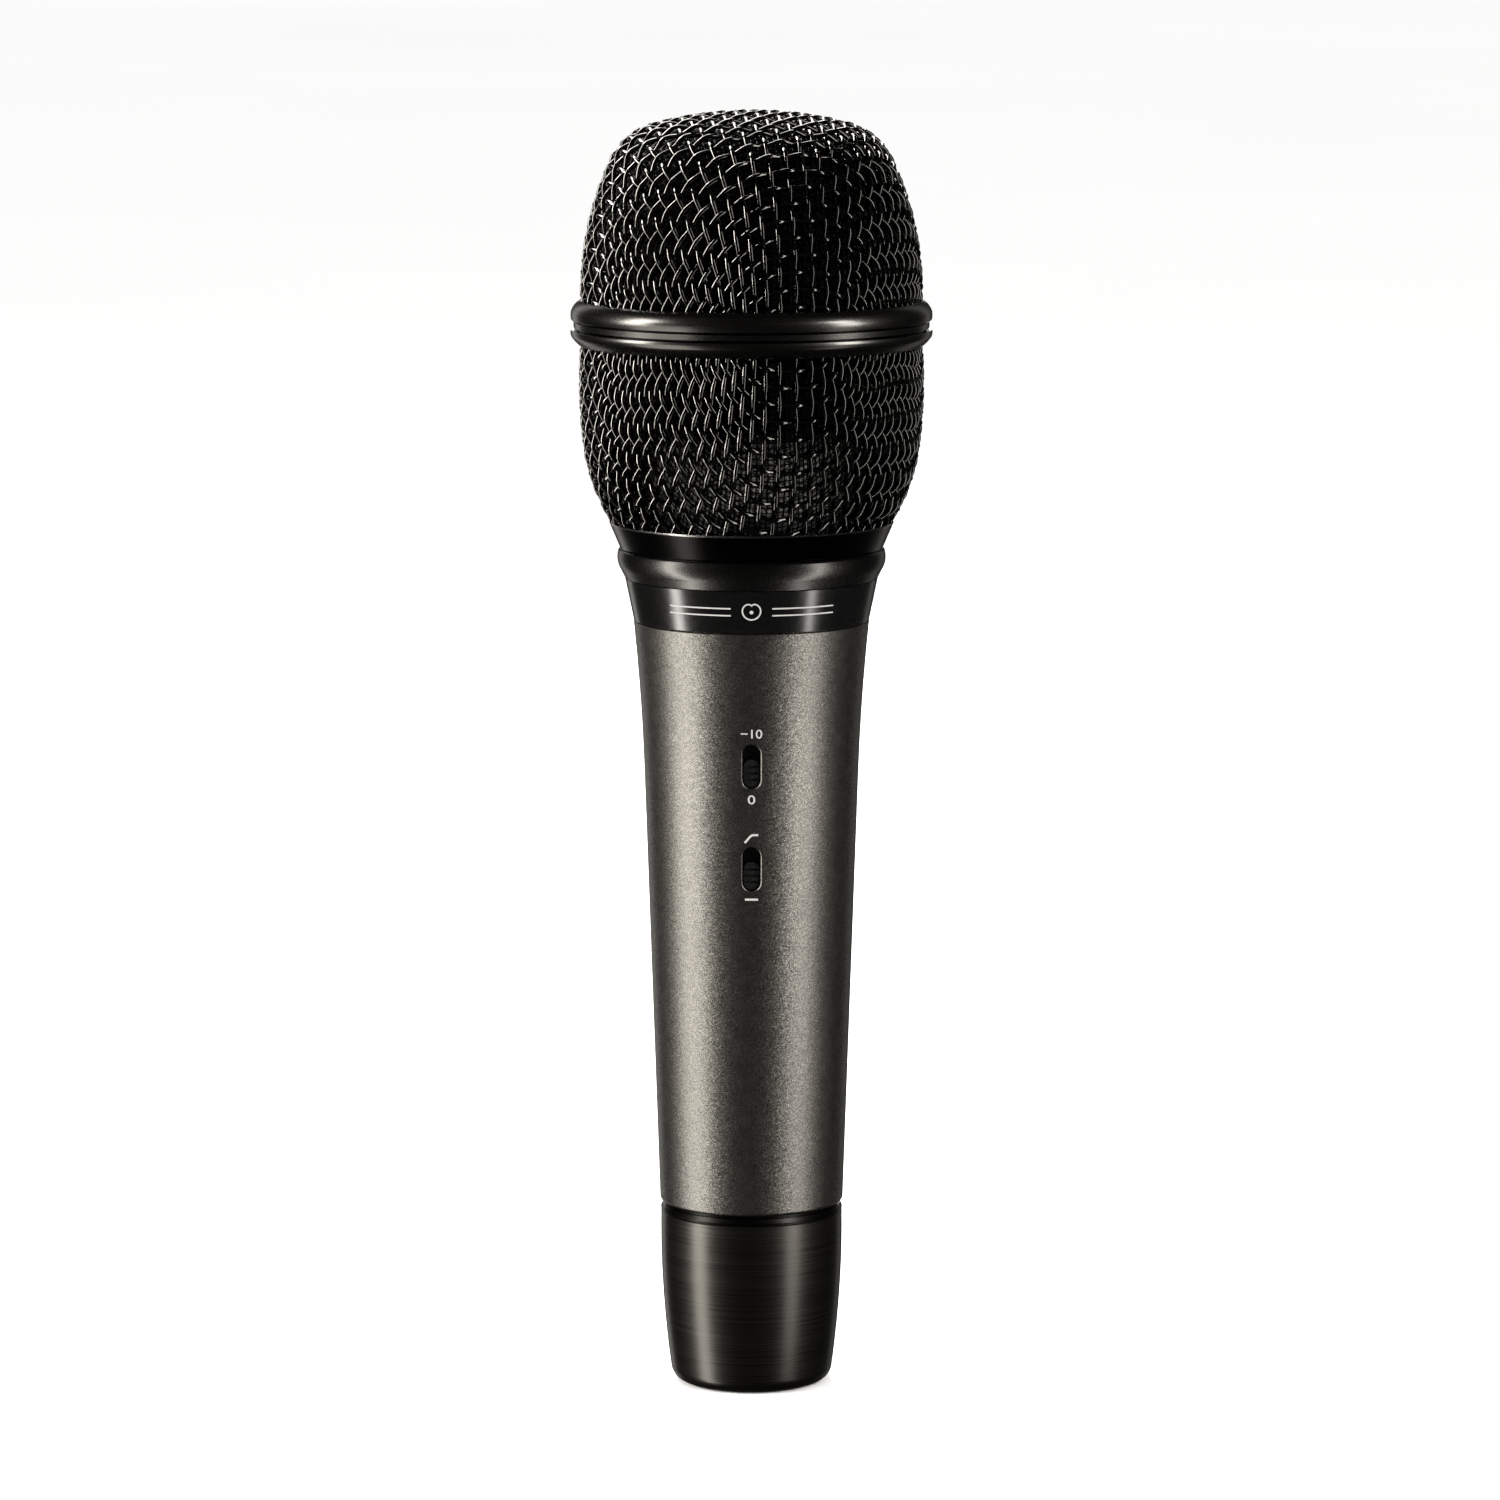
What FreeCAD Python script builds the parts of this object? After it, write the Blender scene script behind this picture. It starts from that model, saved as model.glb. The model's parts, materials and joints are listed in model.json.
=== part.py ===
import FreeCAD, Part

# Handheld vocal microphone, built as the separate pieces it comes apart into.
# Units are millimetres. Origin: centre of the tail's bottom face. +Z runs up the
# handle towards the grille, and -Y is the front, where the two slide switches are.

import math
import os
import Sketcher

Vector = FreeCAD.Vector
doc = FreeCAD.newDocument("Microphone")

# ---------------------------------------------------------------- dimensions
# alias, value, note
DIMS = [
    # tail sleeve with the plug socket
    ("tail_flat_rad", 9.35, "tail: outer edge of the flat bottom rim"),
    ("tail_corner_rad", 2.15, "tail: bottom corner rounding"),
    ("tail_low_rad", 11.56, "tail: radius where the corner meets the side"),
    ("tail_low_z", 2.0, "tail: height where the corner meets the side"),
    ("tail_side_arc", 148.0, "tail: radius of the barrelled side"),
    ("tail_top_rad", 12.98, "tail: radius at the top"),
    ("tail_top_z", 24.85, "tail: top of the visible sleeve"),
    ("mouth_rad", 8.25, "socket: mouth radius"),
    ("mouth_depth", 1.95, "socket: depth of the mouth step"),
    ("socket_rad", 8.15, "socket: bore radius"),
    ("socket_depth", 15.0, "socket: depth to the insert shoulder"),
    ("seat_rad", 9.5, "tail: bore that holds the insert"),
    ("spigot_rad", 11.2, "tail: spigot that enters the handle"),
    ("spigot_top", 33.0, "tail: top of the spigot"),
    ("latch_wide", 4.0, "socket: latch recess width"),
    ("latch_low", 3.5, "socket: latch recess bottom"),
    ("latch_high", 7.0, "socket: latch recess top"),
    ("latch_rad", 8.95, "socket: latch recess depth"),
    ("lock_z", 19.5, "insert locking screw height"),
    ("lock_rad", 1.0, "insert locking screw hole radius"),
    # connector
    ("insert_face", 14.0, "insert: front face"),
    ("insert_top", 23.0, "insert: rear face"),
    ("insert_gap", 0.08, "insert: clearance in its seat"),
    ("contact_rad", 1.19, "contact: radius of the free end"),
    ("contact_tip", 2.2, "contact: tip height"),
    ("contact_collar", 1.35, "contact: radius of the held collar"),
    ("contact_collar_top", 20.0, "contact: top of the collar"),
    ("contact_cup_rad", 1.0, "contact: solder cup radius"),
    ("contact_cup_top", 27.0, "contact: solder cup end"),
    ("contact_off", 3.96, "contacts: distance from the centre line"),
    # joint ring
    ("ring_rad", 13.0, "joint ring: radius"),
    ("ring_low", 24.9, "joint ring: bottom"),
    ("ring_high", 25.82, "joint ring: top of the bevelled band"),
    ("ring_inner", 11.24, "joint ring: bore"),
    # handle
    ("handle_low", 26.3, "handle: bottom"),
    ("handle_low_rad", 13.1, "handle: radius above the bottom rounding"),
    ("handle_mid_z", 88.0, "handle: top of the straight taper"),
    ("handle_mid_rad", 15.2, "handle: radius at the top of the taper"),
    ("handle_high", 109.95, "handle: top"),
    ("handle_high_rad", 16.7, "handle: radius at the top"),
    ("handle_flare", 301.0, "handle: radius of the flare"),
    ("handle_bore_rad", 11.26, "handle: bore at the bottom"),
    ("handle_bore_top", 34.5, "handle: top of the straight bore"),
    ("handle_neck_rad", 14.3, "handle: counterbore for the neck sleeve"),
    ("handle_neck_z", 98.1, "handle: bottom of the counterbore"),
    ("handle_in_rad", 13.5, "handle: bore under the counterbore"),
    ("slot_half", 1.3, "switch slot: half width"),
    ("slot_tall", 6.25, "switch slot: height"),
    ("pad_z", 91.1, "pad switch: slot centre"),
    ("filter_z", 76.5, "low-cut switch: slot centre"),
    ("slot_edge", 0.14, "switch slot: edge chamfer"),
    # name band, neck
    ("band_low", 110.05, "name band: bottom"),
    ("band_high", 116.15, "name band: top"),
    ("band_low_rad", 16.71, "name band: radius at the bottom"),
    ("band_high_rad", 17.9, "name band: radius at the top"),
    ("neck_rad", 15.0, "neck sleeve: radius of the grille thread"),
    ("neck_top", 122.0, "neck sleeve: top"),
    ("neck_bore", 12.9, "neck sleeve: bore"),
    ("neck_plug_rad", 14.27, "neck sleeve: radius inside the handle"),
    ("neck_low", 98.2, "neck sleeve: bottom"),
    ("neck_web", 1.6, "neck sleeve: floor thickness"),
    ("neck_hole", 3.2, "neck sleeve: lead hole"),
    ("bead_low", 116.2, "neck ring: bottom"),
    ("bead_high", 120.35, "neck ring: top"),
    ("bead_bore", 16.45, "neck ring: bore"),
    ("bead_rad", 19.02, "neck ring: widest radius"),
    # grille collar
    ("collar_bore", 15.06, "grille collar: threaded bore"),
    ("collar_spigot", 16.4, "grille collar: spigot in the neck ring"),
    ("collar_low", 116.25, "grille collar: bottom"),
    ("collar_step", 120.4, "grille collar: underside of the cone"),
    ("collar_top", 124.0, "grille collar: top edge"),
    ("collar_top_rad", 20.12, "grille collar: radius at the top edge"),
    ("collar_step_rad", 18.62, "grille collar: radius at the underside"),
    ("collar_seat", 122.45, "grille collar: floor of the mesh seat"),
    # lower mesh bowl: two tangent arcs in section
    ("bowl_upper_x", -47.916, "bowl: upper arc centre, radial"),
    ("bowl_upper_z", 143.552, "bowl: upper arc centre, height"),
    ("bowl_upper_rad", 72.033, "bowl: upper arc radius"),
    ("bowl_lower_x", -3.266, "bowl: lower arc centre, radial"),
    ("bowl_lower_z", 138.098, "bowl: lower arc centre, height"),
    ("bowl_lower_rad", 27.052, "bowl: lower arc radius"),
    ("bowl_cos", 0.992585, "bowl: cosine where the arcs meet"),
    ("bowl_sin", -0.121553, "bowl: sine where the arcs meet"),
    ("bowl_low", 122.5, "bowl: bottom edge"),
    ("bowl_high", 151.3, "bowl: top edge"),
    # upper mesh dome: three tangent arcs in section
    ("dome_side_x", -20.506, "dome: side arc centre, radial"),
    ("dome_side_z", 156.381, "dome: side arc centre, height"),
    ("dome_side_rad", 44.421, "dome: side arc radius"),
    ("shoulder_x", 11.341, "dome: shoulder arc centre, radial"),
    ("shoulder_z", 171.307, "dome: shoulder arc centre, height"),
    ("shoulder_rad", 9.25, "dome: shoulder arc radius"),
    ("crown_z", 129.737, "dome: crown arc centre, height"),
    ("crown_rad", 52.334, "dome: crown arc radius"),
    ("side_cos", 0.905496, "dome: cosine where side meets shoulder"),
    ("side_sin", 0.424354, "dome: sine where side meets shoulder"),
    ("crown_cos", 0.263262, "dome: cosine where shoulder meets crown"),
    ("crown_sin", 0.964724, "dome: sine where shoulder meets crown"),
    ("dome_low", 153.1, "dome: bottom edge"),
    ("mesh_thick", 1.3, "woven mesh: two wire diameters"),
    ("gauze_out", 1.4, "gauze: outer face below the mesh face"),
    ("gauze_in", 1.65, "gauze: inner face below the mesh face"),
    ("foam_out", 1.75, "foam: outer face below the mesh face"),
    ("foam_in", 4.2, "foam: inner face below the mesh face"),
    # grille band
    ("hoop_rad", 25.44, "grille band: radius at the bead edges"),
    ("hoop_bead", 1.3, "grille band: bead rounding"),
    ("hoop_mid_rad", 25.07, "grille band: middle strip radius"),
    ("hoop_notch_rad", 24.72, "grille band: groove floor radius"),
    ("hoop_strip_low", 151.5, "grille band: middle strip, bottom edge"),
    ("hoop_strip_high", 152.4, "grille band: middle strip, top edge"),
    ("hoop_top", 155.35, "grille band: top edge"),
    ("hoop_low", 149.05, "grille band: bottom edge"),
    ("hoop_bore", 21.5, "grille band: bore"),
    # capsule carrier and shock mount
    ("carrier_rad", 12.85, "capsule carrier: radius"),
    ("carrier_low", 112.0, "capsule carrier: bottom"),
    ("carrier_top", 126.0, "capsule carrier: top rim"),
    ("carrier_bore", 11.6, "capsule carrier: bore"),
    ("shock_top", 131.0, "shock mount: top face"),
    # capsule
    ("cap_rad", 12.0, "capsule: housing radius"),
    ("cap_bore", 11.0, "capsule: housing bore"),
    ("cap_top", 157.0, "capsule: top of the housing"),
    ("disc_z", 154.5, "capsule: diaphragm height"),
    ("disc_rad", 10.9, "capsule: radius of the inner discs"),
    # chassis and board
    ("chassis_rad", 11.0, "chassis: outer radius"),
    ("chassis_wall", 1.2, "chassis: wall"),
    ("chassis_low", 35.0, "chassis: bottom"),
    ("chassis_high", 98.1, "chassis: top"),
    ("board_half", 10.6, "circuit board: half width"),
    ("board_low", 36.0, "circuit board: bottom"),
    ("board_high", 96.0, "circuit board: top"),
    ("board_back", -1.0, "circuit board: back face, along Y"),
    ("board_thick", 1.6, "circuit board: thickness"),
    ("screw_low_z", 45.0, "board screw: lower height"),
    ("screw_high_z", 83.8, "board screw: upper height"),
    # switches
    ("case_half_x", 3.4, "switch case: half width"),
    ("case_half_z", 4.8, "switch case: half height"),
    ("case_deep", 5.0, "switch case: depth"),
    ("travel", 2.0, "switch: slider travel"),
    ("nub_half", 1.1, "switch: slider half width"),
    ("nub_tall", 3.9, "switch: slider height"),
    ("pad_nub_y", 14.55, "pad switch: reach of the slider from the axis"),
    ("filter_nub_y", 14.05, "low-cut switch: reach of the slider from the axis"),
    ("pad_plate_y", 12.7, "pad switch: reach of the dust plate"),
    ("filter_plate_y", 12.2, "low-cut switch: reach of the dust plate"),
]


class Size:
    """A number together with the sheet expression that gives it."""

    def __init__(self, value, text):
        self.value, self.text = float(value), text

    def __add__(self, other):
        other = as_size(other)
        return Size(self.value + other.value, "(%s + %s)" % (self.text, other.text))

    __radd__ = __add__

    def __sub__(self, other):
        other = as_size(other)
        return Size(self.value - other.value, "(%s - %s)" % (self.text, other.text))

    def __mul__(self, other):
        other = as_size(other)
        return Size(self.value * other.value, "(%s * %s)" % (self.text, other.text))

    def __truediv__(self, other):
        other = as_size(other)
        return Size(self.value / other.value, "(%s / %s)" % (self.text, other.text))

    def __neg__(self):
        return Size(-self.value, "(0 - %s)" % self.text)


def as_size(number):
    if isinstance(number, Size):
        return number
    number = round(float(number), 6)
    return Size(number, "%.6g" % number if number >= 0 else "(0 - %.6g)" % -number)


def root(size):
    return Size(math.sqrt(size.value), "sqrt(%s)" % size.text)


class Dimensions:
    """The sheet's dimensions, each a Size named by its alias."""


dim = Dimensions()
sheet = doc.addObject("Spreadsheet::Sheet", "Dims")
for row, (alias, number, note) in enumerate(DIMS, start=1):
    sheet.set("A%d" % row, note)
    sheet.set("B%d" % row, str(number))
    sheet.setAlias("B%d" % row, alias)
    setattr(dim, alias, Size(number, "Dims." + alias))
doc.recompute()

# ------------------------------------------------------------ sketch helpers
ZERO = 1e-9
DOME_RAD = 20  # a larger arc that meets the turning axis is the crown of a dome

nodes = []


def keep(obj, label):
    """Mark an object as a piece to export."""
    obj.Label = label
    nodes.append(obj)
    return obj


def new_body(name):
    return keep(doc.addObject("PartDesign::Body", name), name)


def bind(obj, **sizes):
    """Set properties and tie them to the sheet."""
    for name, value in sizes.items():
        value = as_size(value)
        setattr(obj, name, value.value)
        obj.setExpression(name, value.text)
    return obj


def origin_feature(body, role):
    return next(f for f in body.Origin.OriginFeatures if f.Role == role)


def arc_between(start, end, radius, side):
    """An arc from start to end, its centre to the left (side 1) or right (side -1)."""
    chord = end - start
    half = chord.Length / 2
    left = Vector(-chord.y, chord.x, 0).normalize()
    rise = math.sqrt(max(radius**2 - half**2, 0.0))
    centre = (start + end) * 0.5 + left * (side * rise)
    low = math.atan2(start.y - centre.y, start.x - centre.x)
    high = math.atan2(end.y - centre.y, end.x - centre.x)
    if side < 0:
        low, high = high, low
    while high < low:
        high += 2 * math.pi
    return Part.ArcOfCircle(Part.Circle(centre, Vector(0, 0, 1), radius), low, high)


def pin_point(rules, geo, pos, x, y):
    """Hold one sketch point at x, y from the origin."""
    for size, kind, axis in ((x, "DistanceX", -2), (y, "DistanceY", -1)):
        if abs(size.value) < ZERO:
            rules.append((Sketcher.Constraint("PointOnObject", geo, pos, axis), None))
        else:
            rule = Sketcher.Constraint(kind, -1, 1, geo, pos, size.value)
            rules.append((rule, size.text))


def draw_loop(geometry, rules, loop):
    """Add one closed loop to the geometry and its constraints to the rules."""
    first, count = len(geometry), len(loop)
    sizes = [(as_size(vertex[0]), as_size(vertex[1])) for vertex in loop]
    points = [Vector(x.value, y.value, 0) for x, y in sizes]
    ends, poles = [], set()
    for i, vertex in enumerate(loop):
        after = (i + 1) % count
        start, end = points[i], points[after]
        if len(vertex) == 2:
            geometry.append(Part.LineSegment(start, end))
            ends.append((1, 2))
            continue
        radius, side = as_size(vertex[2]), vertex[3]
        geometry.append(arc_between(start, end, radius.value, side))
        ends.append((1, 2) if side > 0 else (2, 1))
        geo = len(geometry) - 1
        rules.append((Sketcher.Constraint("Radius", geo, radius.value), radius.text))
        if radius.value > DOME_RAD and min(abs(start.x), abs(end.x)) < ZERO:
            rules.append((Sketcher.Constraint("PointOnObject", geo, 3, -2), None))
            poles.add(i if abs(start.x) < ZERO else after)
    for i in range(count):
        after = (i + 1) % count
        geo, pos = first + i, ends[i][0]
        joint = Sketcher.Constraint("Coincident", geo, ends[i][1], first + after, ends[after][0])
        rules.append((joint, None))
        if i in poles:
            rules.append((Sketcher.Constraint("PointOnObject", geo, pos, -2), None))
        else:
            pin_point(rules, geo, pos, *sizes[i])


def draw(body, name, loops=(), circles=(), role="XZ_Plane", lift=None):
    """A sketch of closed loops and of circles (x, y, radius). A vertex is (x, y) or
    (x, y, R, side): the edge that leaves it is then an arc, as in arc_between. An arc
    that crowns a dome has its centre held on the turning axis, and the height of its
    pole follows from that, so that it spins into a true sphere. The lift runs along
    the plane's normal: +Z on XY_Plane, -Y on XZ_Plane."""
    sketch = body.newObject("Sketcher::SketchObject", name)
    sketch.AttachmentSupport = [(origin_feature(body, role), "")]
    sketch.MapMode = "FlatFace"
    if lift is not None:
        lift = as_size(lift)
        sketch.AttachmentOffset = FreeCAD.Placement(Vector(0, 0, lift.value), FreeCAD.Rotation())
        sketch.setExpression("AttachmentOffset.Base.z", lift.text)
    geometry = []
    rules = []  # (constraint, expression or None)
    for loop in loops:
        draw_loop(geometry, rules, loop)
    for circle in circles:
        x, y, radius = (as_size(v) for v in circle)
        geo = len(geometry)
        centre = Vector(x.value, y.value, 0)
        geometry.append(Part.Circle(centre, Vector(0, 0, 1), radius.value))
        rules.append((Sketcher.Constraint("Radius", geo, radius.value), radius.text))
        pin_point(rules, geo, 3, x, y)
    sketch.addGeometry(geometry, False)
    sketch.addConstraint([rule for rule, _ in rules])
    for index, (_, text) in enumerate(rules):
        if text:
            sketch.renameConstraint(index, "size%d" % index)
            sketch.setExpression("Constraints.size%d" % index, text)
    return sketch


def turned(name, outline):
    """A lathe-turned body; the outline is (radius, z), with arcs as in draw."""
    body = new_body(name)
    sketch = draw(body, name + "_profile", [outline])
    feature = body.newObject("PartDesign::Revolution", name + "_spin")
    feature.Profile = sketch
    feature.ReferenceAxis = (sketch, ["V_Axis"])
    feature.Angle = 360
    return body


def extrude(kind, body, name, length, loops, circles, role, lift, back):
    sketch = draw(body, name + "_sketch", loops, circles, role, lift)
    feature = body.newObject("PartDesign::" + kind, name)
    feature.Profile = sketch
    bind(feature, Length=length)
    feature.Reversed = back
    return feature


def pad(body, name, length, loops=(), circles=(), role="XY_Plane", lift=None, back=False):
    """Add material along the plane's normal, or against it if back."""
    return extrude("Pad", body, name, length, loops, circles, role, lift, back)


def cut(body, name, length, loops=(), circles=(), role="XY_Plane", lift=None, back=False):
    """Remove material against the plane's normal, or along it if back."""
    return extrude("Pocket", body, name, length, loops, circles, role, lift, back)


def rect(x0, x1, y0, y1):
    return [(x0, y0), (x1, y0), (x1, y1), (x0, y1)]


def stadium(centre_z, half, tall):
    """A slot outline on the centre line: straight sides, round ends of quarter arcs."""
    centre_z, half, tall = as_size(centre_z), as_size(half), as_size(tall)
    high = centre_z + tall / 2 - half
    low = centre_z - tall / 2 + half
    return [
        (half, low),
        (half, high, half, 1),
        (0, centre_z + tall / 2, half, 1),
        (-half, high),
        (-half, low, half, 1),
        (0, centre_z - tall / 2, half, 1),
    ]


def hole_ring(count, pitch_rad, hole_rad, shift=0):
    """Circles evenly spaced on a pitch circle; shift is in steps of the spacing."""
    angles = [2 * math.pi * (k + shift) / count for k in range(count)]
    return [(pitch_rad * math.cos(a), pitch_rad * math.sin(a), hole_rad) for a in angles]


# ------------------------------------------------------------- solid helpers
# the direction a primitive's own Z is turned to
TURNS = {
    None: FreeCAD.Rotation(),
    "x": FreeCAD.Rotation(Vector(0, 1, 0), 90),
    "y": FreeCAD.Rotation(Vector(1, 0, 0), -90),
    "-y": FreeCAD.Rotation(Vector(1, 0, 0), 90),
}
numbered = []


def add_numbered(kind, stem):
    numbered.append(stem)
    return doc.addObject("Part::" + kind, "%s_%d" % (stem, len(numbered)))


def primitive(kind, stem, x, y, z, axis=None, **sizes):
    obj = bind(add_numbered(kind, stem), **sizes)
    x, y, z = as_size(x), as_size(y), as_size(z)
    obj.Placement = FreeCAD.Placement(Vector(x.value, y.value, z.value), TURNS[axis])
    for name, place in (("x", x), ("y", y), ("z", z)):
        obj.setExpression("Placement.Base." + name, place.text)
    return obj


def box(x0, x1, y0, y1, z0, z1):
    x0, x1, y0, y1, z0, z1 = (as_size(v) for v in (x0, x1, y0, y1, z0, z1))
    return primitive("Box", "block", x0, y0, z0, Length=x1 - x0, Width=y1 - y0, Height=z1 - z0)


def rod(radius, length, x, y, z, axis=None):
    return primitive("Cylinder", "rod", x, y, z, axis, Radius=radius, Height=length)


def cone(radius0, radius1, length, x, y, z):
    return primitive("Cone", "taper", x, y, z, Radius1=radius0, Radius2=radius1, Height=length)


def ball(radius, x, y, z):
    return primitive("Sphere", "ball", x, y, z, Radius=radius)


def fuse(*shapes):
    joined = add_numbered("MultiFuse", "join")
    joined.Shapes = list(shapes)
    joined.Refine = True
    return joined


def minus(base, *tools):
    tool = tools[0] if len(tools) == 1 else fuse(*tools)
    trimmed = add_numbered("Cut", "trim")
    trimmed.Base, trimmed.Tool = base, tool
    return trimmed


def group(label, shapes):
    """Identical separate solids that share one node."""
    compound = doc.addObject("Part::Compound", label)
    compound.Links = list(shapes)
    keep(compound, label)


# ------------------------------------------------------------- tail and plug
mouth_chamfer = 0.35
spigot_chamfer = 0.4
top_edge = 0.1
tail = turned("tail_sleeve", [
    (dim.mouth_rad + mouth_chamfer, 0),
    (dim.tail_flat_rad, 0, dim.tail_corner_rad, 1),
    (dim.tail_low_rad, dim.tail_low_z, dim.tail_side_arc, 1),
    (dim.tail_top_rad, dim.tail_top_z - 0.75),
    (dim.tail_top_rad, dim.tail_top_z - top_edge),
    (dim.tail_top_rad - top_edge, dim.tail_top_z),
    (dim.spigot_rad, dim.tail_top_z),
    (dim.spigot_rad, dim.spigot_top - spigot_chamfer),
    (dim.spigot_rad - spigot_chamfer, dim.spigot_top),
    (dim.seat_rad, dim.spigot_top),
    (dim.seat_rad, dim.socket_depth),
    (dim.socket_rad, dim.socket_depth),
    (dim.socket_rad, dim.mouth_depth),
    (dim.mouth_rad, dim.mouth_depth),
    (dim.mouth_rad, mouth_chamfer),
])
# both cuts run from the axis to the back
latch = rect(-dim.latch_wide / 2, dim.latch_wide / 2, dim.latch_low, dim.latch_high)
cut(tail, "latch_recess", dim.latch_rad, [latch], role="XZ_Plane")
cut(tail, "lock_hole", 20, circles=[(0, dim.lock_z, dim.lock_rad)], role="XZ_Plane")

# contact places (x, y): one either side of the axis, one towards the front
CONTACTS = [
    (-dim.contact_off, as_size(0)),
    (dim.contact_off, as_size(0)),
    (as_size(0), -dim.contact_off),
]

insert_nose = dim.socket_rad - dim.insert_gap
insert_rad = dim.seat_rad - dim.insert_gap
insert_chamfer = 0.4
insert = turned("connector_insert", [
    (0, dim.insert_face),
    (insert_nose, dim.insert_face),
    (insert_nose, dim.socket_depth),
    (insert_rad, dim.socket_depth),
    (insert_rad, dim.insert_top - insert_chamfer),
    (insert_rad - insert_chamfer, dim.insert_top),
    (0, dim.insert_top),
])
cut(insert, "contact_holes", 12,
    circles=[(x, y, dim.contact_collar + 0.02) for x, y in CONTACTS],
    lift=dim.insert_face - 1, back=True)
cut(insert, "lock_dimple", 5, circles=[(0, dim.lock_z, dim.lock_rad)],
    role="XZ_Plane", lift=-7.4)


def contact_pin(x, y):
    """A pointed contact with a collar and a hollow solder cup on top."""
    point_rad, point_tall = 0.62, 0.7
    cup_bore, cup_deep = 0.65, 2.4
    face, collar_top = dim.insert_face, dim.contact_collar_top
    return fuse(
        cone(point_rad, dim.contact_rad, point_tall, x, y, dim.contact_tip),
        rod(dim.contact_rad, face - dim.contact_tip - point_tall,
            x, y, dim.contact_tip + point_tall),
        rod(dim.contact_collar, collar_top - face, x, y, face),
        minus(
            rod(dim.contact_cup_rad, dim.contact_cup_top - collar_top, x, y, collar_top),
            rod(cup_bore, cup_deep, x, y, dim.contact_cup_top - cup_deep),
        ),
    )


group("contact_pins", [contact_pin(x, y) for x, y in CONTACTS])

# ground spring: foot on the insert's rear face, upright leg, inward lip at the top
spring_thick = 0.3
spring_half = 1.5
spring_y = 9.32
leg_y = spring_y - spring_thick
spring_top = dim.insert_top + 5.0
keep(fuse(
    box(-spring_half, spring_half, 5.2, spring_y, dim.insert_top, dim.insert_top + spring_thick),
    box(-spring_half, spring_half, leg_y, spring_y, dim.insert_top + spring_thick, spring_top),
    box(-spring_half, spring_half, 8.3, leg_y, spring_top - spring_thick, spring_top),
), "ground_spring")

# set screw along +Y: driver slot in the outer end, small recess in the inner end
keep(minus(
    rod(dim.lock_rad - 0.05, 5.0, 0, 7.5, dim.lock_z, "y"),
    box(-1.2, 1.2, 12.0, 12.6, dim.lock_z - 0.16, dim.lock_z + 0.16),
    rod(0.35, 0.4, 0, 7.5, dim.lock_z, "y"),
), "insert_set_screw")

ring_edge = 0.07
ring_step_rad = dim.ring_rad - 0.75
ring_top = dim.handle_low - 0.02
turned("tail_joint_ring", [
    (dim.ring_inner, dim.ring_low),
    (dim.ring_rad - ring_edge, dim.ring_low),
    (dim.ring_rad, dim.ring_low + ring_edge),
    (dim.ring_rad, dim.ring_low + 0.35),
    (dim.ring_rad - 0.28, dim.ring_high),
    (ring_step_rad, dim.ring_high),
    (ring_step_rad, ring_top),
    (dim.ring_inner, ring_top),
])

# -------------------------------------------------------------------- handle
low_round = 0.5
high_edge = 0.1
handle = turned("handle_body", [
    (dim.handle_bore_rad, dim.handle_low),
    (dim.handle_low_rad - 0.47, dim.handle_low, low_round, 1),
    (dim.handle_low_rad, dim.handle_low + low_round),
    (dim.handle_mid_rad, dim.handle_mid_z, dim.handle_flare, -1),
    (dim.handle_high_rad, dim.handle_high - high_edge),
    (dim.handle_high_rad - high_edge, dim.handle_high),
    (dim.handle_neck_rad, dim.handle_high),
    (dim.handle_neck_rad, dim.handle_neck_z),
    (dim.handle_in_rad, dim.handle_neck_z),
    (dim.handle_bore_rad, dim.handle_bore_top),
])
slots = cut(handle, "switch_slots", 20, [
    stadium(dim.pad_z, dim.slot_half, dim.slot_tall),
    stadium(dim.filter_z, dim.slot_half, dim.slot_tall),
], role="XZ_Plane", back=True)
doc.recompute()


def on_slot_rim(edge):
    """Whether an edge lies where a switch slot breaks the handle's outer face."""
    bounds = edge.BoundBox
    reach = 1.4  # just over the slot's half width
    if bounds.YMax >= -13 or bounds.ZLength >= 7:
        return False
    if abs(bounds.XMin) >= reach or abs(bounds.XMax) >= reach:
        return False
    middle = edge.valueAt((edge.FirstParameter + edge.LastParameter) / 2)
    slope = 0.034  # the taper's gain in radius per millimetre of height
    outer = dim.handle_mid_rad.value - (dim.handle_mid_z.value - middle.z) * slope
    # edges that run through the wall are short in both X and Z
    return (math.hypot(middle.x, middle.y) > outer - 0.6
            and (bounds.ZLength > 0.3 or bounds.XLength > 0.3))


chamfer = handle.newObject("PartDesign::Chamfer", "slot_edges")
chamfer.Base = (slots, [
    "Edge%d" % number for number, edge in enumerate(slots.Shape.Edges, start=1)
    if on_slot_rim(edge)
])
bind(chamfer, Size=dim.slot_edge)

band_bore = dim.neck_rad + 0.03
band_edge = 0.1
turned("name_band", [
    (band_bore, dim.band_low),
    (dim.band_low_rad - band_edge, dim.band_low),
    (dim.band_low_rad, dim.band_low + band_edge),
    (dim.band_high_rad, dim.band_high - band_edge),
    (dim.band_high_rad - band_edge, dim.band_high),
    (band_bore, dim.band_high),
])

# screws that hold the chassis to the neck sleeve (x, y), and their pilot hole
NECK_SCREWS = [(-5.6, 4.6), (5.6, 4.6)]
pilot_holes = [(x, y, 1.08) for x, y in NECK_SCREWS]

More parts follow.
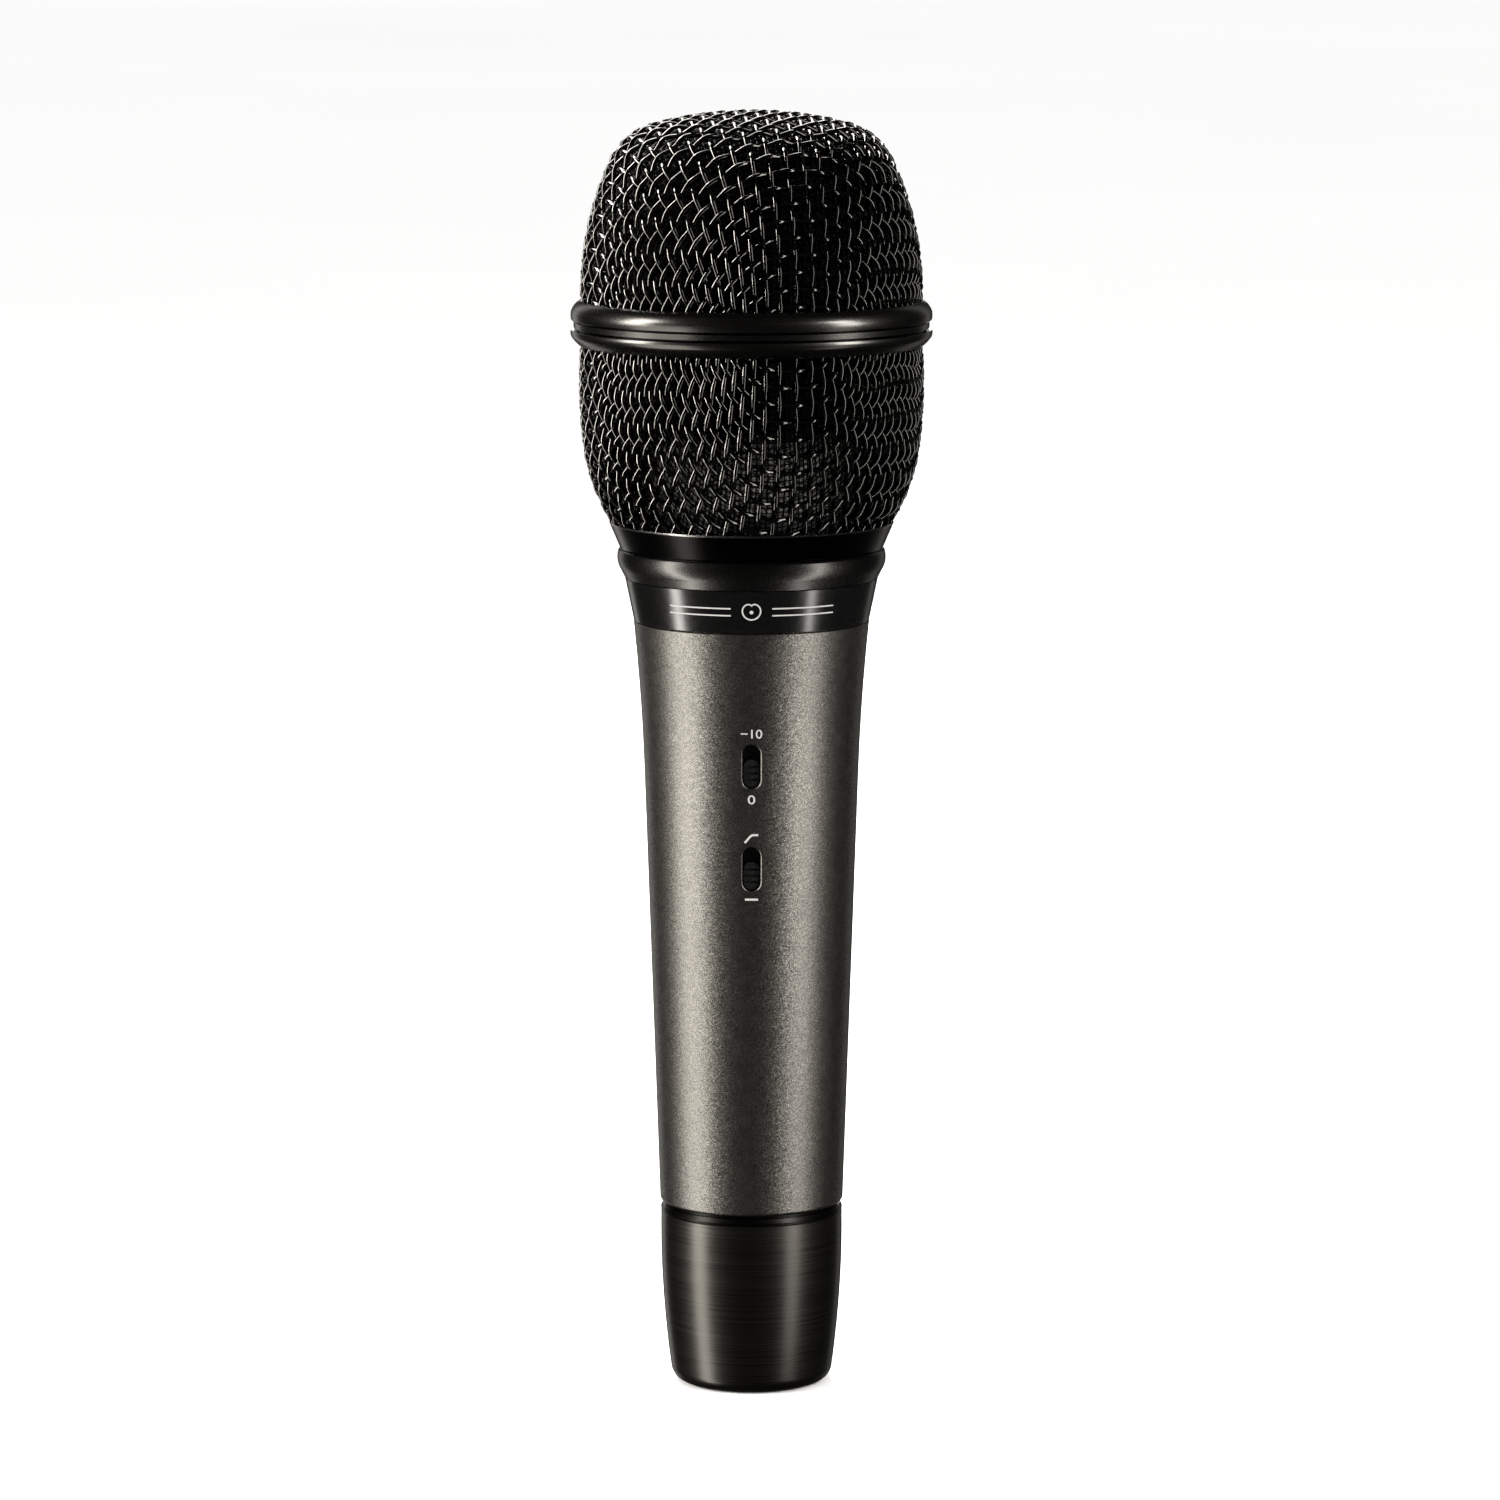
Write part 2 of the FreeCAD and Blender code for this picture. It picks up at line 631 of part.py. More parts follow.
neck_step = dim.handle_high + 0.02
neck_floor = dim.neck_low + dim.neck_web
neck_chamfer = 0.3
neck = turned("neck_sleeve", [
    (dim.neck_hole, dim.neck_low),
    (dim.neck_plug_rad, dim.neck_low),
    (dim.neck_plug_rad, neck_step),
    (dim.neck_rad, neck_step),
    (dim.neck_rad, dim.neck_top - neck_chamfer),
    (dim.neck_rad - neck_chamfer, dim.neck_top),
    (dim.neck_bore, dim.neck_top),
    (dim.neck_bore, neck_floor),
    (dim.neck_hole, neck_floor),
])
cut(neck, "neck_screw_holes", 5, circles=pilot_holes, lift=dim.neck_low - 1, back=True)

# ------------------------------------------------------------------- chassis
# a trough open to the front, its edges level with the back of the board
BOARD_SCREWS = (dim.screw_low_z, dim.screw_high_z)
edge_y = dim.board_back
outer_rad = dim.chassis_rad
inner_rad = outer_rad - dim.chassis_wall
outer_x = root(outer_rad * outer_rad - edge_y * edge_y)
inner_x = root(inner_rad * inner_rad - edge_y * edge_y)
plate_thick = 1.4
outer_face = [
    (outer_x, edge_y, outer_rad, 1),
    (0, outer_rad, outer_rad, 1),
    (-outer_x, edge_y),
]
inner_face = [
    (-inner_x, edge_y, inner_rad, -1),
    (0, inner_rad, inner_rad, -1),
    (inner_x, edge_y),
]
chassis = new_body("chassis")
pad(chassis, "trough", dim.chassis_high - dim.chassis_low, [outer_face + inner_face],
    lift=dim.chassis_low)
pad(chassis, "top_plate", plate_thick, [outer_face], lift=dim.chassis_high - plate_thick)
pad(chassis, "bosses", inner_rad - edge_y + 0.2, circles=[(0, z, 2.2) for z in BOARD_SCREWS],
    role="XZ_Plane", lift=-edge_y, back=True)
cut(chassis, "boss_holes", 7, circles=[(0, z, 0.84) for z in BOARD_SCREWS],
    role="XZ_Plane", lift=-edge_y)
cut(chassis, "plate_holes", 4, circles=[(0, 3.6, 3.0)] + pilot_holes,
    lift=dim.chassis_high - 3, back=True)
cut(chassis, "window", 20, [rect(-4, 4, 54, 72)], role="XZ_Plane")


def chassis_screw(x, y):
    """An upright screw with a slotted head under the top plate."""
    top = dim.chassis_high
    return fuse(
        rod(1.0, 4.4, x, y, top - 2.9),
        minus(rod(1.9, 1.3, x, y, top - 2.7),
              box(x - 2.2, x + 2.2, y - 0.2, y + 0.2, top - 3.0, top - 2.2)),
    )


group("chassis_screws", [chassis_screw(x, y) for x, y in NECK_SCREWS])

# ------------------------------------------------------------- circuit board
back_y = dim.board_back
front_y = back_y - dim.board_thick

# places on the board (x, z)
TERMINALS = [(x, z) for x in (-1.4, 1.4) for z in (-2.5, 0.0, 2.5)]  # z from the slot centre
RESISTORS = [
    (-5.6, 40.5), (-5.6, 44.5), (-5.6, 48.5), (5.6, 40.5), (5.6, 44.5), (5.6, 48.5),
    (-6.2, 66.5), (6.2, 66.5),
]
FILMS = [(-5.4, 54.5), (5.4, 54.5), (-5.4, 60.0), (5.4, 60.0)]
CANS = [(-5.4, 51.5), (5.4, 51.5), (-5.4, 77.5), (5.4, 77.5)]
TRANSISTORS = [(0.0, 51.0), (0.0, 64.5), (0.0, 69.0)]

# lead places along X from each component's centre
RESISTOR_LEADS = (-2.9, 2.9)
FILM_LEADS = (-2.5, 2.5)
CAN_LEADS = (-1.0, 1.0)
TRANSISTOR_LEADS = (-1.27, 0.0, 1.27)
lead_rad = 0.28

# solder points of the insulated leads
connector_joints_x = (-2.5, 2.5, 0.0)
connector_joints_z = dim.board_low + 2.0
capsule_joint_x = 5.0
capsule_joint_z = 92.5

board_holes = [(0, z, 1.0) for z in BOARD_SCREWS]
for slot_z in (dim.pad_z, dim.filter_z):
    board_holes += [(x, slot_z + z, 0.42) for x, z in TERMINALS]
for places, leads in (
    (RESISTORS, RESISTOR_LEADS),
    (FILMS, FILM_LEADS),
    (CANS, CAN_LEADS),
    (TRANSISTORS, TRANSISTOR_LEADS),
):
    board_holes += [(x + lead, z, 0.4) for x, z in places for lead in leads]
board_holes += [(x, connector_joints_z, 0.55) for x in connector_joints_x]
board_holes += [(side * capsule_joint_x, capsule_joint_z, 0.55) for side in (-1, 1)]
board = new_body("circuit_board")
pad(board, "board_plate", dim.board_thick,
    [rect(-dim.board_half, dim.board_half, dim.board_low, dim.board_high)],
    board_holes, role="XZ_Plane", lift=-back_y)


def board_screw(z):
    """A screw along Y with a slotted head on the board's front face."""
    return fuse(
        rod(0.8, 8.0, 0, front_y, z, "y"),
        minus(rod(1.8, 1.3, 0, front_y, z, "-y"),
              box(-2.0, 2.0, front_y - 1.4, front_y - 0.7, z - 0.2, z + 0.2)),
    )


def resistor(x, z):
    """An axial resistor along X with end caps and bent leads."""
    y = front_y - 1.3
    body_half, cap_rad, cap_long = 1.9, 1.12, 0.8
    left, right = RESISTOR_LEADS
    return fuse(
        rod(1.0, 2 * body_half, x - body_half, y, z, "x"),
        rod(cap_rad, cap_long, x - body_half, y, z, "x"),
        rod(cap_rad, cap_long, x + body_half - cap_long, y, z, "x"),
        rod(lead_rad, right - left, x + left, y, z, "x"),
        ball(lead_rad, x + left, y, z),
        ball(lead_rad, x + right, y, z),
        rod(lead_rad, 3.5, x + left, y, z, "y"),
        rod(lead_rad, 3.5, x + right, y, z, "y"),
    )


def film_capacitor(x, z):
    """A block on the board's front face."""
    return fuse(
        box(x - 3.4, x + 3.4, front_y - 5.2, front_y - 0.2, z - 1.2, z + 1.2),
        *[rod(lead_rad, 3.0, x + lead, front_y - 0.4, z, "y") for lead in FILM_LEADS],
    )


def electrolytic_capacitor(x, z):
    """A can on the board's back face, with a raised ring near its foot."""
    return fuse(
        rod(2.5, 5.6, x, back_y + 0.3, z, "y"),
        rod(2.62, 0.7, x, back_y + 0.7, z, "y"),
        *[rod(lead_rad, 2.6, x + lead, back_y - 2.2, z, "y") for lead in CAN_LEADS],
    )


def transistor(x, z):
    """A round package with a flat on its upper side, and three leads."""
    return fuse(
        minus(rod(2.3, 4.5, x, front_y - 1.6, z, "-y"),
              box(x - 3, x + 3, front_y - 7.0, front_y - 1.0, z + 1.25, z + 3)),
        *[rod(0.24, 3.9, x + lead, front_y - 1.8, z, "y") for lead in TRANSISTOR_LEADS],
    )


group("board_screws", [board_screw(z) for z in BOARD_SCREWS])
group("resistors", [resistor(x, z) for x, z in RESISTORS])
group("film_capacitors", [film_capacitor(x, z) for x, z in FILMS])
group("electrolytic_capacitors", [electrolytic_capacitor(x, z) for x, z in CANS])
group("transistors", [transistor(x, z) for x, z in TRANSISTORS])

# ------------------------------------------------------------------ switches
case_y = front_y - dim.case_deep  # front of the switch case
frame_y = case_y - 0.3
frame_x = 3.7


def switch_case(slot_z):
    return minus(
        box(-dim.case_half_x, dim.case_half_x, case_y, front_y,
            slot_z - dim.case_half_z, slot_z + dim.case_half_z),
        box(-2.2, 2.2, case_y - 1, front_y - 1.4, slot_z - 4.0, slot_z + 4.0),
        *[rod(0.33, 4.0, x, front_y - 3.0, slot_z + z, "y") for x, z in TERMINALS],
    )


def switch_frame(slot_z):
    """A plate with a window over the case, and a flange down each side."""
    low, high = slot_z - 2.6, slot_z + 2.6
    return fuse(
        minus(
            box(-frame_x, frame_x, frame_y, case_y,
                slot_z - dim.case_half_z, slot_z + dim.case_half_z),
            box(-1.3, 1.3, case_y - 1, case_y + 1, slot_z - 3.2, slot_z + 3.2),
        ),
        box(-frame_x, -dim.case_half_x, frame_y, front_y - 0.4, low, high),
        box(dim.case_half_x, frame_x, frame_y, front_y - 0.4, low, high),
    )


def switch_terminal(x, z):
    return fuse(
        rod(0.3, 4.2, x, front_y - 1.6, z, "y"),
        rod(0.5, 0.3, x, front_y - 1.75, z, "y"),
    )


def make_slider(kind, z, nub_reach, plate_reach):
    """Block inside the case, stem out through the slot, dust plate, grooved end."""
    slider = new_body(kind + "_slider")
    base = -front_y + 2.8
    plate_thick = 0.6
    groove_half = 0.17
    pad(slider, kind + "_block", 2.1, [rect(-2.0, 2.0, z - 2.6, z + 2.6)],
        role="XZ_Plane", lift=base)
    pad(slider, kind + "_stem", nub_reach - base,
        [stadium(z, dim.nub_half, dim.nub_tall)], role="XZ_Plane", lift=base)
    pad(slider, kind + "_dust_plate", plate_thick, [rect(-2.4, 2.4, z - 5.2, z + 5.2)],
        role="XZ_Plane", lift=plate_reach - plate_thick)
    cut(slider, kind + "_grip", 0.3,
        [rect(-1.5, 1.5, z + groove - groove_half, z + groove + groove_half)
         for groove in (-0.9, 0.0, 0.9)],
        role="XZ_Plane", lift=nub_reach)


def switch_contact(z):
    """A plate behind the slider block, with two raised ribs on its back."""
    plate_y = front_y - 2.5
    low, high = z - 1.9, z + 1.9
    return fuse(
        box(-1.7, 1.7, plate_y - 0.3, plate_y, z - 2.2, z + 2.2),
        box(-1.6, -1.2, plate_y, plate_y + 0.4, low, high),
        box(1.2, 1.6, plate_y, plate_y + 0.4, low, high),
    )


def make_switch(kind, slot_z, nub_reach, plate_reach):
    slider_z = slot_z - dim.travel / 2  # the slider is at the low end of its travel
    keep(switch_case(slot_z), kind + "_switch_case")
    keep(switch_frame(slot_z), kind + "_switch_frame")
    group(kind + "_switch_terminals", [switch_terminal(x, slot_z + z) for x, z in TERMINALS])
    make_slider(kind, slider_z, nub_reach, plate_reach)
    keep(switch_contact(slider_z), kind + "_contact")


make_switch("pad", dim.pad_z, dim.pad_nub_y, dim.pad_plate_y)
make_switch("filter", dim.filter_z, dim.filter_nub_y, dim.filter_plate_y)

# ----------------------------------------------------------------- neck ring
turned("neck_ring", [
    (dim.bead_bore, dim.bead_low),
    (dim.bead_rad - 1.08, dim.bead_low),
    (dim.bead_rad - 0.52, dim.bead_low + 1.1, 3.3, 1),
    (dim.bead_rad - 0.12, dim.bead_high - 0.45, 0.6, 1),
    (dim.bead_rad - 0.5, dim.bead_high),
    (dim.bead_bore, dim.bead_high),
])


# --------------------------------------------------------------- grille head
def arc_point(x, z, radius, cosine, sine):
    return x + radius * cosine, z + radius * sine


def arc_at_height(x, z, radius, height):
    """Distance from the turning axis of an arc's outer side at a height."""
    rise = height - z
    return x + root(radius * radius - rise * rise)


def bowl_foot_rad(inward, height):
    """Radius of the bowl's lower arc, inward of the outer face."""
    return arc_at_height(dim.bowl_lower_x, dim.bowl_lower_z, dim.bowl_lower_rad - inward, height)


def bowl_shell(name, outer, inner, low, high):
    """A bowl between two faces offset inward from the woven outer face."""
    low, high = as_size(low), as_size(high)

    def face(inward):
        lower, upper = dim.bowl_lower_rad - inward, dim.bowl_upper_rad - inward
        return lower, upper, [
            (bowl_foot_rad(inward, low), low),
            arc_point(dim.bowl_lower_x, dim.bowl_lower_z, lower, dim.bowl_cos, dim.bowl_sin),
            (arc_at_height(dim.bowl_upper_x, dim.bowl_upper_z, upper, high), high),
        ]

    lower_out, upper_out, outside = face(outer)
    lower_in, upper_in, inside = face(inner)
    turned(name, [
        (*outside[0], lower_out, 1), (*outside[1], upper_out, 1), outside[2],
        (*inside[2], upper_in, -1), (*inside[1], lower_in, -1), inside[0],
    ])


def dome_shell(name, outer, inner, low):
    """A closed dome between two faces offset inward from the woven outer face."""
    low = as_size(low)

    def face(inward):
        side = dim.dome_side_rad - inward
        shoulder = dim.shoulder_rad - inward
        crown = dim.crown_rad - inward
        return side, shoulder, crown, [
            (arc_at_height(dim.dome_side_x, dim.dome_side_z, side, low), low),
            arc_point(dim.shoulder_x, dim.shoulder_z, shoulder, dim.side_cos, dim.side_sin),
            arc_point(dim.shoulder_x, dim.shoulder_z, shoulder, dim.crown_cos, dim.crown_sin),
            (0, dim.crown_z + crown),
        ]

    side_out, shoulder_out, crown_out, outside = face(outer)
    side_in, shoulder_in, crown_in, inside = face(inner)
    turned(name, [
        (*outside[0], side_out, 1), (*outside[1], shoulder_out, 1),
        (*outside[2], crown_out, 1), outside[3],
        (*inside[3], crown_in, -1), (*inside[2], shoulder_in, -1),
        (*inside[1], side_in, -1), inside[0],
    ])


seat_outer = bowl_foot_rad(0, dim.collar_seat) + 0.05
seat_inner = bowl_foot_rad(dim.gauze_in, dim.collar_seat) - 0.08
seat_lip = dim.collar_seat + 0.75
turned("grille_collar", [
    (dim.collar_bore, dim.collar_low),
    (dim.collar_spigot, dim.collar_low),
    (dim.collar_spigot, dim.collar_step),
    (dim.collar_step_rad, dim.collar_step),
    (dim.collar_step_rad + 0.06, dim.collar_step + 0.12),
    (dim.collar_top_rad, dim.collar_top - 0.08),
    (dim.collar_top_rad - 0.09, dim.collar_top + 0.08),
    (dim.collar_top_rad - 0.2, dim.collar_top + 0.02),
    (seat_outer, dim.collar_seat),
    (seat_inner, dim.collar_seat),
    (seat_inner, seat_lip),
    (dim.collar_bore, seat_lip),
])
bowl_shell("lower_grille_mesh", 0, dim.mesh_thick, dim.bowl_low, dim.bowl_high)
bowl_shell("lower_gauze", dim.gauze_out, dim.gauze_in, dim.bowl_low, dim.bowl_high - 0.2)
bowl_shell("lower_foam", dim.foam_out, dim.foam_in, 126.0, 149.6)
dome_shell("upper_grille_mesh", 0, dim.mesh_thick, dim.dome_low)
dome_shell("upper_gauze", dim.gauze_out, dim.gauze_in, dim.dome_low + 0.2)
dome_shell("upper_foam", dim.foam_out, dim.foam_in, 154.9)

# rolled band that grips both halves: two beads, a middle strip and two grooves outside,
# a seat for each half inside
band_lip_low = 150.0
band_lip_high = 154.6
lower_seat_rad = 22.0
lower_seat_z = 151.4
upper_seat_rad = 22.05
upper_seat_z = dim.dome_low - 0.05
groove_slant = 0.04
groove_far = 0.22
bead_edge = 0.25
turned("grille_band", [
    (dim.hoop_bore, band_lip_low),
    (lower_seat_rad, band_lip_low),
    (lower_seat_rad, lower_seat_z),
    (23.98, lower_seat_z),
    (24.12, dim.hoop_low),
    (24.28, dim.hoop_low, 5.0, 1),
    (25.4, 150.3, dim.hoop_bead, 1),
    (dim.hoop_rad, dim.hoop_strip_low - bead_edge),
    (dim.hoop_notch_rad, dim.hoop_strip_low - groove_far),
    (dim.hoop_notch_rad, dim.hoop_strip_low - groove_slant),
    (dim.hoop_mid_rad, dim.hoop_strip_low),
    (dim.hoop_mid_rad, dim.hoop_strip_high),
    (dim.hoop_notch_rad, dim.hoop_strip_high + groove_slant),
    (dim.hoop_notch_rad, dim.hoop_strip_high + groove_far),
    (dim.hoop_rad, dim.hoop_strip_high + bead_edge, dim.hoop_bead + 0.3, 1),
    (dim.hoop_rad, 153.78, 2.0, 1),
    (24.22, dim.hoop_top),
    (24.0, dim.hoop_top),
    (23.95, upper_seat_z),
    (upper_seat_rad, upper_seat_z),
    (upper_seat_rad, band_lip_high),
    (dim.hoop_bore, band_lip_high),
])

# ------------------------------------------------------ carrier, shock mount
carrier_hole = 2.6
carrier_chamfer = 0.4
carrier_floor = dim.carrier_low + 1.4
turned("capsule_carrier", [
    (carrier_hole, dim.carrier_low),
    (dim.carrier_rad - carrier_chamfer, dim.carrier_low),
    (dim.carrier_rad, dim.carrier_low + carrier_chamfer),
    (dim.carrier_rad, dim.carrier_top),
    (dim.carrier_bore, dim.carrier_top),
    (dim.carrier_bore, carrier_floor),
    (carrier_hole, carrier_floor),
])

mount_bore = 8.4
mount_low_rad = 12.6
mount_high_rad = 11.8
mount_rim = 1.2
waist_z = dim.carrier_top + 2.5
turned("shock_mount", [
    (mount_bore, dim.carrier_top),
    (mount_low_rad, dim.carrier_top),
    (mount_low_rad, dim.carrier_top + mount_rim),
    (10.7, waist_z),
    (mount_high_rad, dim.shock_top - mount_rim),
    (mount_high_rad, dim.shock_top),
    (mount_bore, dim.shock_top),
    (9.3, waist_z),
])

# ------------------------------------------------------------------- capsule
housing_hole = 2.0
cap_chamfer = 0.5
housing_floor = dim.shock_top + 1.2
housing = turned("capsule_housing", [
    (housing_hole, dim.shock_top),
    (dim.cap_rad - cap_chamfer, dim.shock_top),
    (dim.cap_rad, dim.shock_top + cap_chamfer),
    (dim.cap_rad, dim.cap_top),
    (dim.cap_bore, dim.cap_top),
    (dim.cap_bore, housing_floor),
    (housing_hole, housing_floor),
])
vent = cut(housing, "rear_vent", 20, [stadium(142.0, 0.9, 6.0)], role="XZ_Plane")
vents = housing.newObject("PartDesign::PolarPattern", "rear_vents")
vents.Originals = [vent]
vents.Axis = (origin_feature(housing, "Z_Axis"), [""])
vents.Angle = 360
vents.Occurrences = 10
housing.Tip = vents

cap_underside = dim.cap_top + 0.6
cap_face = dim.cap_top + 1.6
cap_recess_rad = dim.cap_bore - 0.6
grid = turned("capsule_cap", [
    (0, cap_underside),
    (cap_recess_rad, cap_underside),
    (cap_recess_rad, dim.cap_top),
    (dim.cap_rad, dim.cap_top),
    (dim.cap_rad, cap_face - cap_chamfer),
    (dim.cap_rad - cap_chamfer, cap_face),
    (0, cap_face),
])
grid_hole = 1.0
grid_holes = [
    (0, 0, grid_hole),
    *hole_ring(6, 3.3, grid_hole),
    *hole_ring(12, 6.5, grid_hole, shift=0.5),
    *hole_ring(16, 9.2, grid_hole),
]
cut(grid, "cap_holes", 5, circles=grid_holes, lift=dim.cap_top - 1, back=True)

# the stack inside the housing, placed from the underside of the diaphragm
disc_rad = dim.disc_rad
disc_z = dim.disc_z
plate_top = disc_z - 0.16
turned("clamp_ring", [
    (8.6, disc_z + 1.14), (disc_rad + 0.05, disc_z + 1.14), (disc_rad + 0.05, disc_z + 2.44),
    (8.9, disc_z + 2.44), (8.6, disc_z + 2.14),
])
turned("diaphragm_ring", [
    (9.2, disc_z + 0.08), (disc_rad, disc_z + 0.08), (disc_rad, disc_z + 1.1),
    (9.5, disc_z + 1.1), (9.2, disc_z + 0.8),
])
turned("diaphragm", rect(0, disc_rad, disc_z, disc_z + 0.06))
turned("diaphragm_spacer", rect(9.6, disc_rad, disc_z - 0.12, disc_z - 0.02))
backplate = turned("backplate", [
    (0, disc_z - 2.7), (8.4, disc_z - 2.7), (8.4, disc_z - 1.4),
    (9.3, disc_z - 1.4), (9.3, plate_top), (0, plate_top),
])
plate_holes = hole_ring(6, 2.6, 0.4) + hole_ring(12, 5.0, 0.4) + hole_ring(18, 7.4, 0.4)
cut(backplate, "backplate_holes", 5, circles=plate_holes, lift=disc_z - 4, back=True)
turned("backplate_insulator", [
    (7.9, disc_z - 4.4), (disc_rad, disc_z - 4.4), (disc_rad, plate_top), (9.36, plate_top),
    (9.36, disc_z - 1.44), (8.46, disc_z - 1.44), (8.46, disc_z - 3.4), (7.9, disc_z - 3.4),
])
turned("acoustic_felt", rect(1.4, disc_rad, disc_z - 7.0, disc_z - 4.46))

post_low = disc_z - 18.3
keep(fuse(
    rod(0.5, 15.5, 0, 0, post_low),
    rod(1.1, 0.5, 0, 0, disc_z - 3.25),
    rod(0.9, 0.6, 0, 0, post_low),
), "contact_post")

capsule_board_top = disc_z - 18.4
capsule_board_thick = 1.0
capsule_board = new_body("capsule_board")
pad(capsule_board, "capsule_board_disc", capsule_board_thick,
    circles=[(0, 0, disc_rad - 0.1), (-5, 0, 0.4), (5, 0, 0.4)],
    lift=capsule_board_top - capsule_board_thick)

# blocks on the capsule board: x0, x1, y0, y1, height
CONVERTER_BLOCKS = [
    (-6.6, -3.4, -1.4, 1.4, 1.6),
    (3.6, 6.4, -1.0, 1.0, 1.4),
    (-3.4, 3.6, 3.0, 4.4, 0.8),
    (-4.4, -3.4, 1.0, 4.4, 0.6),
    (3.6, 4.6, 0.8, 4.4, 0.6),
]
keep(fuse(*[
    box(x0, x1, y0, y1, capsule_board_top, capsule_board_top + tall)
    for x0, x1, y0, y1, tall in CONVERTER_BLOCKS
]), "impedance_converter")

# --------------------------------------------------------------------- leads
insulation_rad = 0.5


def sweep(spine, start, direction):
    """A round insulated lead along a spine."""
    circle = Part.Circle(start, direction, insulation_rad)
    return spine.makePipeShell([Part.Wire([circle.toShape()])], True, False)


def curved_lead(points, leave, arrive):
    """A lead along a smooth curve with given end tangents."""
    points = [Vector(*point) for point in points]
    leave, arrive = Vector(*leave), Vector(*arrive)
    curve = Part.BSplineCurve()
    curve.interpolate(Points=points, InitialTangent=leave, FinalTangent=arrive)
    return sweep(Part.Wire([curve.toShape()]), points[0], leave)


def bent_lead(points, bends):
    """A lead of straight runs joined by round bends, one radius per inner point."""
    points = [Vector(*point) for point in points]
    edges = []
    reached = points[0]
    for i, bend in enumerate(bends, 1):
        arriving = (points[i] - points[i - 1]).normalize()
        leaving = (points[i + 1] - points[i]).normalize()
        half = arriving.getAngle(leaving) / 2
        run = bend * math.tan(half)
        start, end = points[i] - arriving * run, points[i] + leaving * run
        inward = (leaving - arriving).normalize()
        middle = points[i] + inward * (bend / math.cos(half) - bend)
        edges += [Part.makeLine(reached, start), Part.Arc(start, middle, end).toShape()]
        reached = end
    edges.append(Part.makeLine(reached, points[-1]))
    return sweep(Part.Wire(edges), points[0], points[1] - points[0])


def connector_lead(x, y, joint_x):
    """From a contact's solder cup to the front of the board."""
    cup = dim.contact_cup_top.value
    face_y = front_y.value
    joint_z = connector_joints_z.value
    return curved_lead([
        (x, y, cup + 0.03),
        (x, y - 0.2, cup + 2.0),
        ((x + joint_x) / 2, (y + face_y - 4) / 2, cup + 6.0),
        (joint_x, face_y - 2.2, joint_z - 1.2),
        (joint_x, face_y - 0.05, joint_z),
    ], leave=(0, 0, 3), arrive=(0, 3, 0))


def capsule_lead(side):
    """From the back of the board up into the capsule carrier."""
    x = side * 1.2
    return bent_lead([
        (side * capsule_joint_x, back_y.value + 0.05, capsule_joint_z),
        (side * capsule_joint_x, 1.05, capsule_joint_z),
        (side * 1.25, 2.1, 96.3),
        (x, 1.9, 101.0),
        (x, 0.2, 107.6),
        (x, 0.2, dim.carrier_low.value + 9.0),
    ], bends=(1.1, 3.5, 5.0, 5.0))


def keep_leads(label, leads):
    feature = doc.addObject("Part::Feature", label)
    feature.Shape = Part.makeCompound(leads)
    keep(feature, label)


keep_leads("connector_leads", [
    connector_lead(x.value, y.value, joint_x)
    for (x, y), joint_x in zip(CONTACTS, connector_joints_x)
])
keep_leads("capsule_leads", [capsule_lead(side) for side in (-1, 1)])

# grommet in the carrier's floor, with a flange above it and a hole for each lead
keep(minus(
    fuse(rod(2.5, 3.4, 0, 0, dim.carrier_low + 0.2), rod(4.2, 1.2, 0, 0, dim.carrier_low + 1.42)),
    rod(0.7, 8, -1.2, 0.2, dim.carrier_low - 1),
    rod(0.7, 8, 1.2, 0.2, dim.carrier_low - 1),
), "lead_grommet")

# -------------------------------------------------------------------- output
doc.recompute()
bad = [obj.Name for obj in doc.Objects if "Invalid" in obj.State or "Error" in obj.State]
for node in nodes:
    if node.Shape.isNull() or not node.Shape.isValid() or not node.Shape.Solids:
        bad.append("shape of " + node.Label)
if bad:
    raise RuntimeError("failed: " + ", ".join(bad))
os.makedirs("parts", exist_ok=True)
for node in nodes:
    node.Shape.exportStep("parts/%s.step" % node.Label)
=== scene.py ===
"""A microphone with a woven wire head, standing upright on a pale studio floor.

Its axis is +Z with the tail at the floor, and its front faces -Y, so +X is on the right.
Shapes are worked out in millimetres; materials, lights and camera are in metres.
"""
import json
import math

import bpy
import numpy as np
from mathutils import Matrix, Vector

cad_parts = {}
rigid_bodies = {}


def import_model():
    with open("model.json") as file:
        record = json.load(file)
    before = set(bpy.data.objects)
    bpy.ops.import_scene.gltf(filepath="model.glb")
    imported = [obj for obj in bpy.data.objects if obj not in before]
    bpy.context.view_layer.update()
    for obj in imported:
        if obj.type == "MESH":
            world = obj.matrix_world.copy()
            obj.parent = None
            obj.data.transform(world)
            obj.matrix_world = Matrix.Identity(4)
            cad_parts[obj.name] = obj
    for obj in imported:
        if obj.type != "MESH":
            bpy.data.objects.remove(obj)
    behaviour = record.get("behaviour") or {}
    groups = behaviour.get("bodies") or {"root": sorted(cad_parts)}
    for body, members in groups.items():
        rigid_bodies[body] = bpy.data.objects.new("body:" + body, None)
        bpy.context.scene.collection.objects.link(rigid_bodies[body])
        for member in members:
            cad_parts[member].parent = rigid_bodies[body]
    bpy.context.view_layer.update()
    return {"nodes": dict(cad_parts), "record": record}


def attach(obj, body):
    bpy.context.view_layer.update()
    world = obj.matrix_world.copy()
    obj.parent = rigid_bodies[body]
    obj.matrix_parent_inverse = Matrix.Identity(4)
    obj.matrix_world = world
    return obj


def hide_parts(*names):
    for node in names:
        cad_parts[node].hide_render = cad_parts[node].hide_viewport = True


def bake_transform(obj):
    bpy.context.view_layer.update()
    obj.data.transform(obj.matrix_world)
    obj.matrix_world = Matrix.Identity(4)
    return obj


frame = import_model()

NODES = frame["nodes"]
MM = 0.001
PI = math.pi


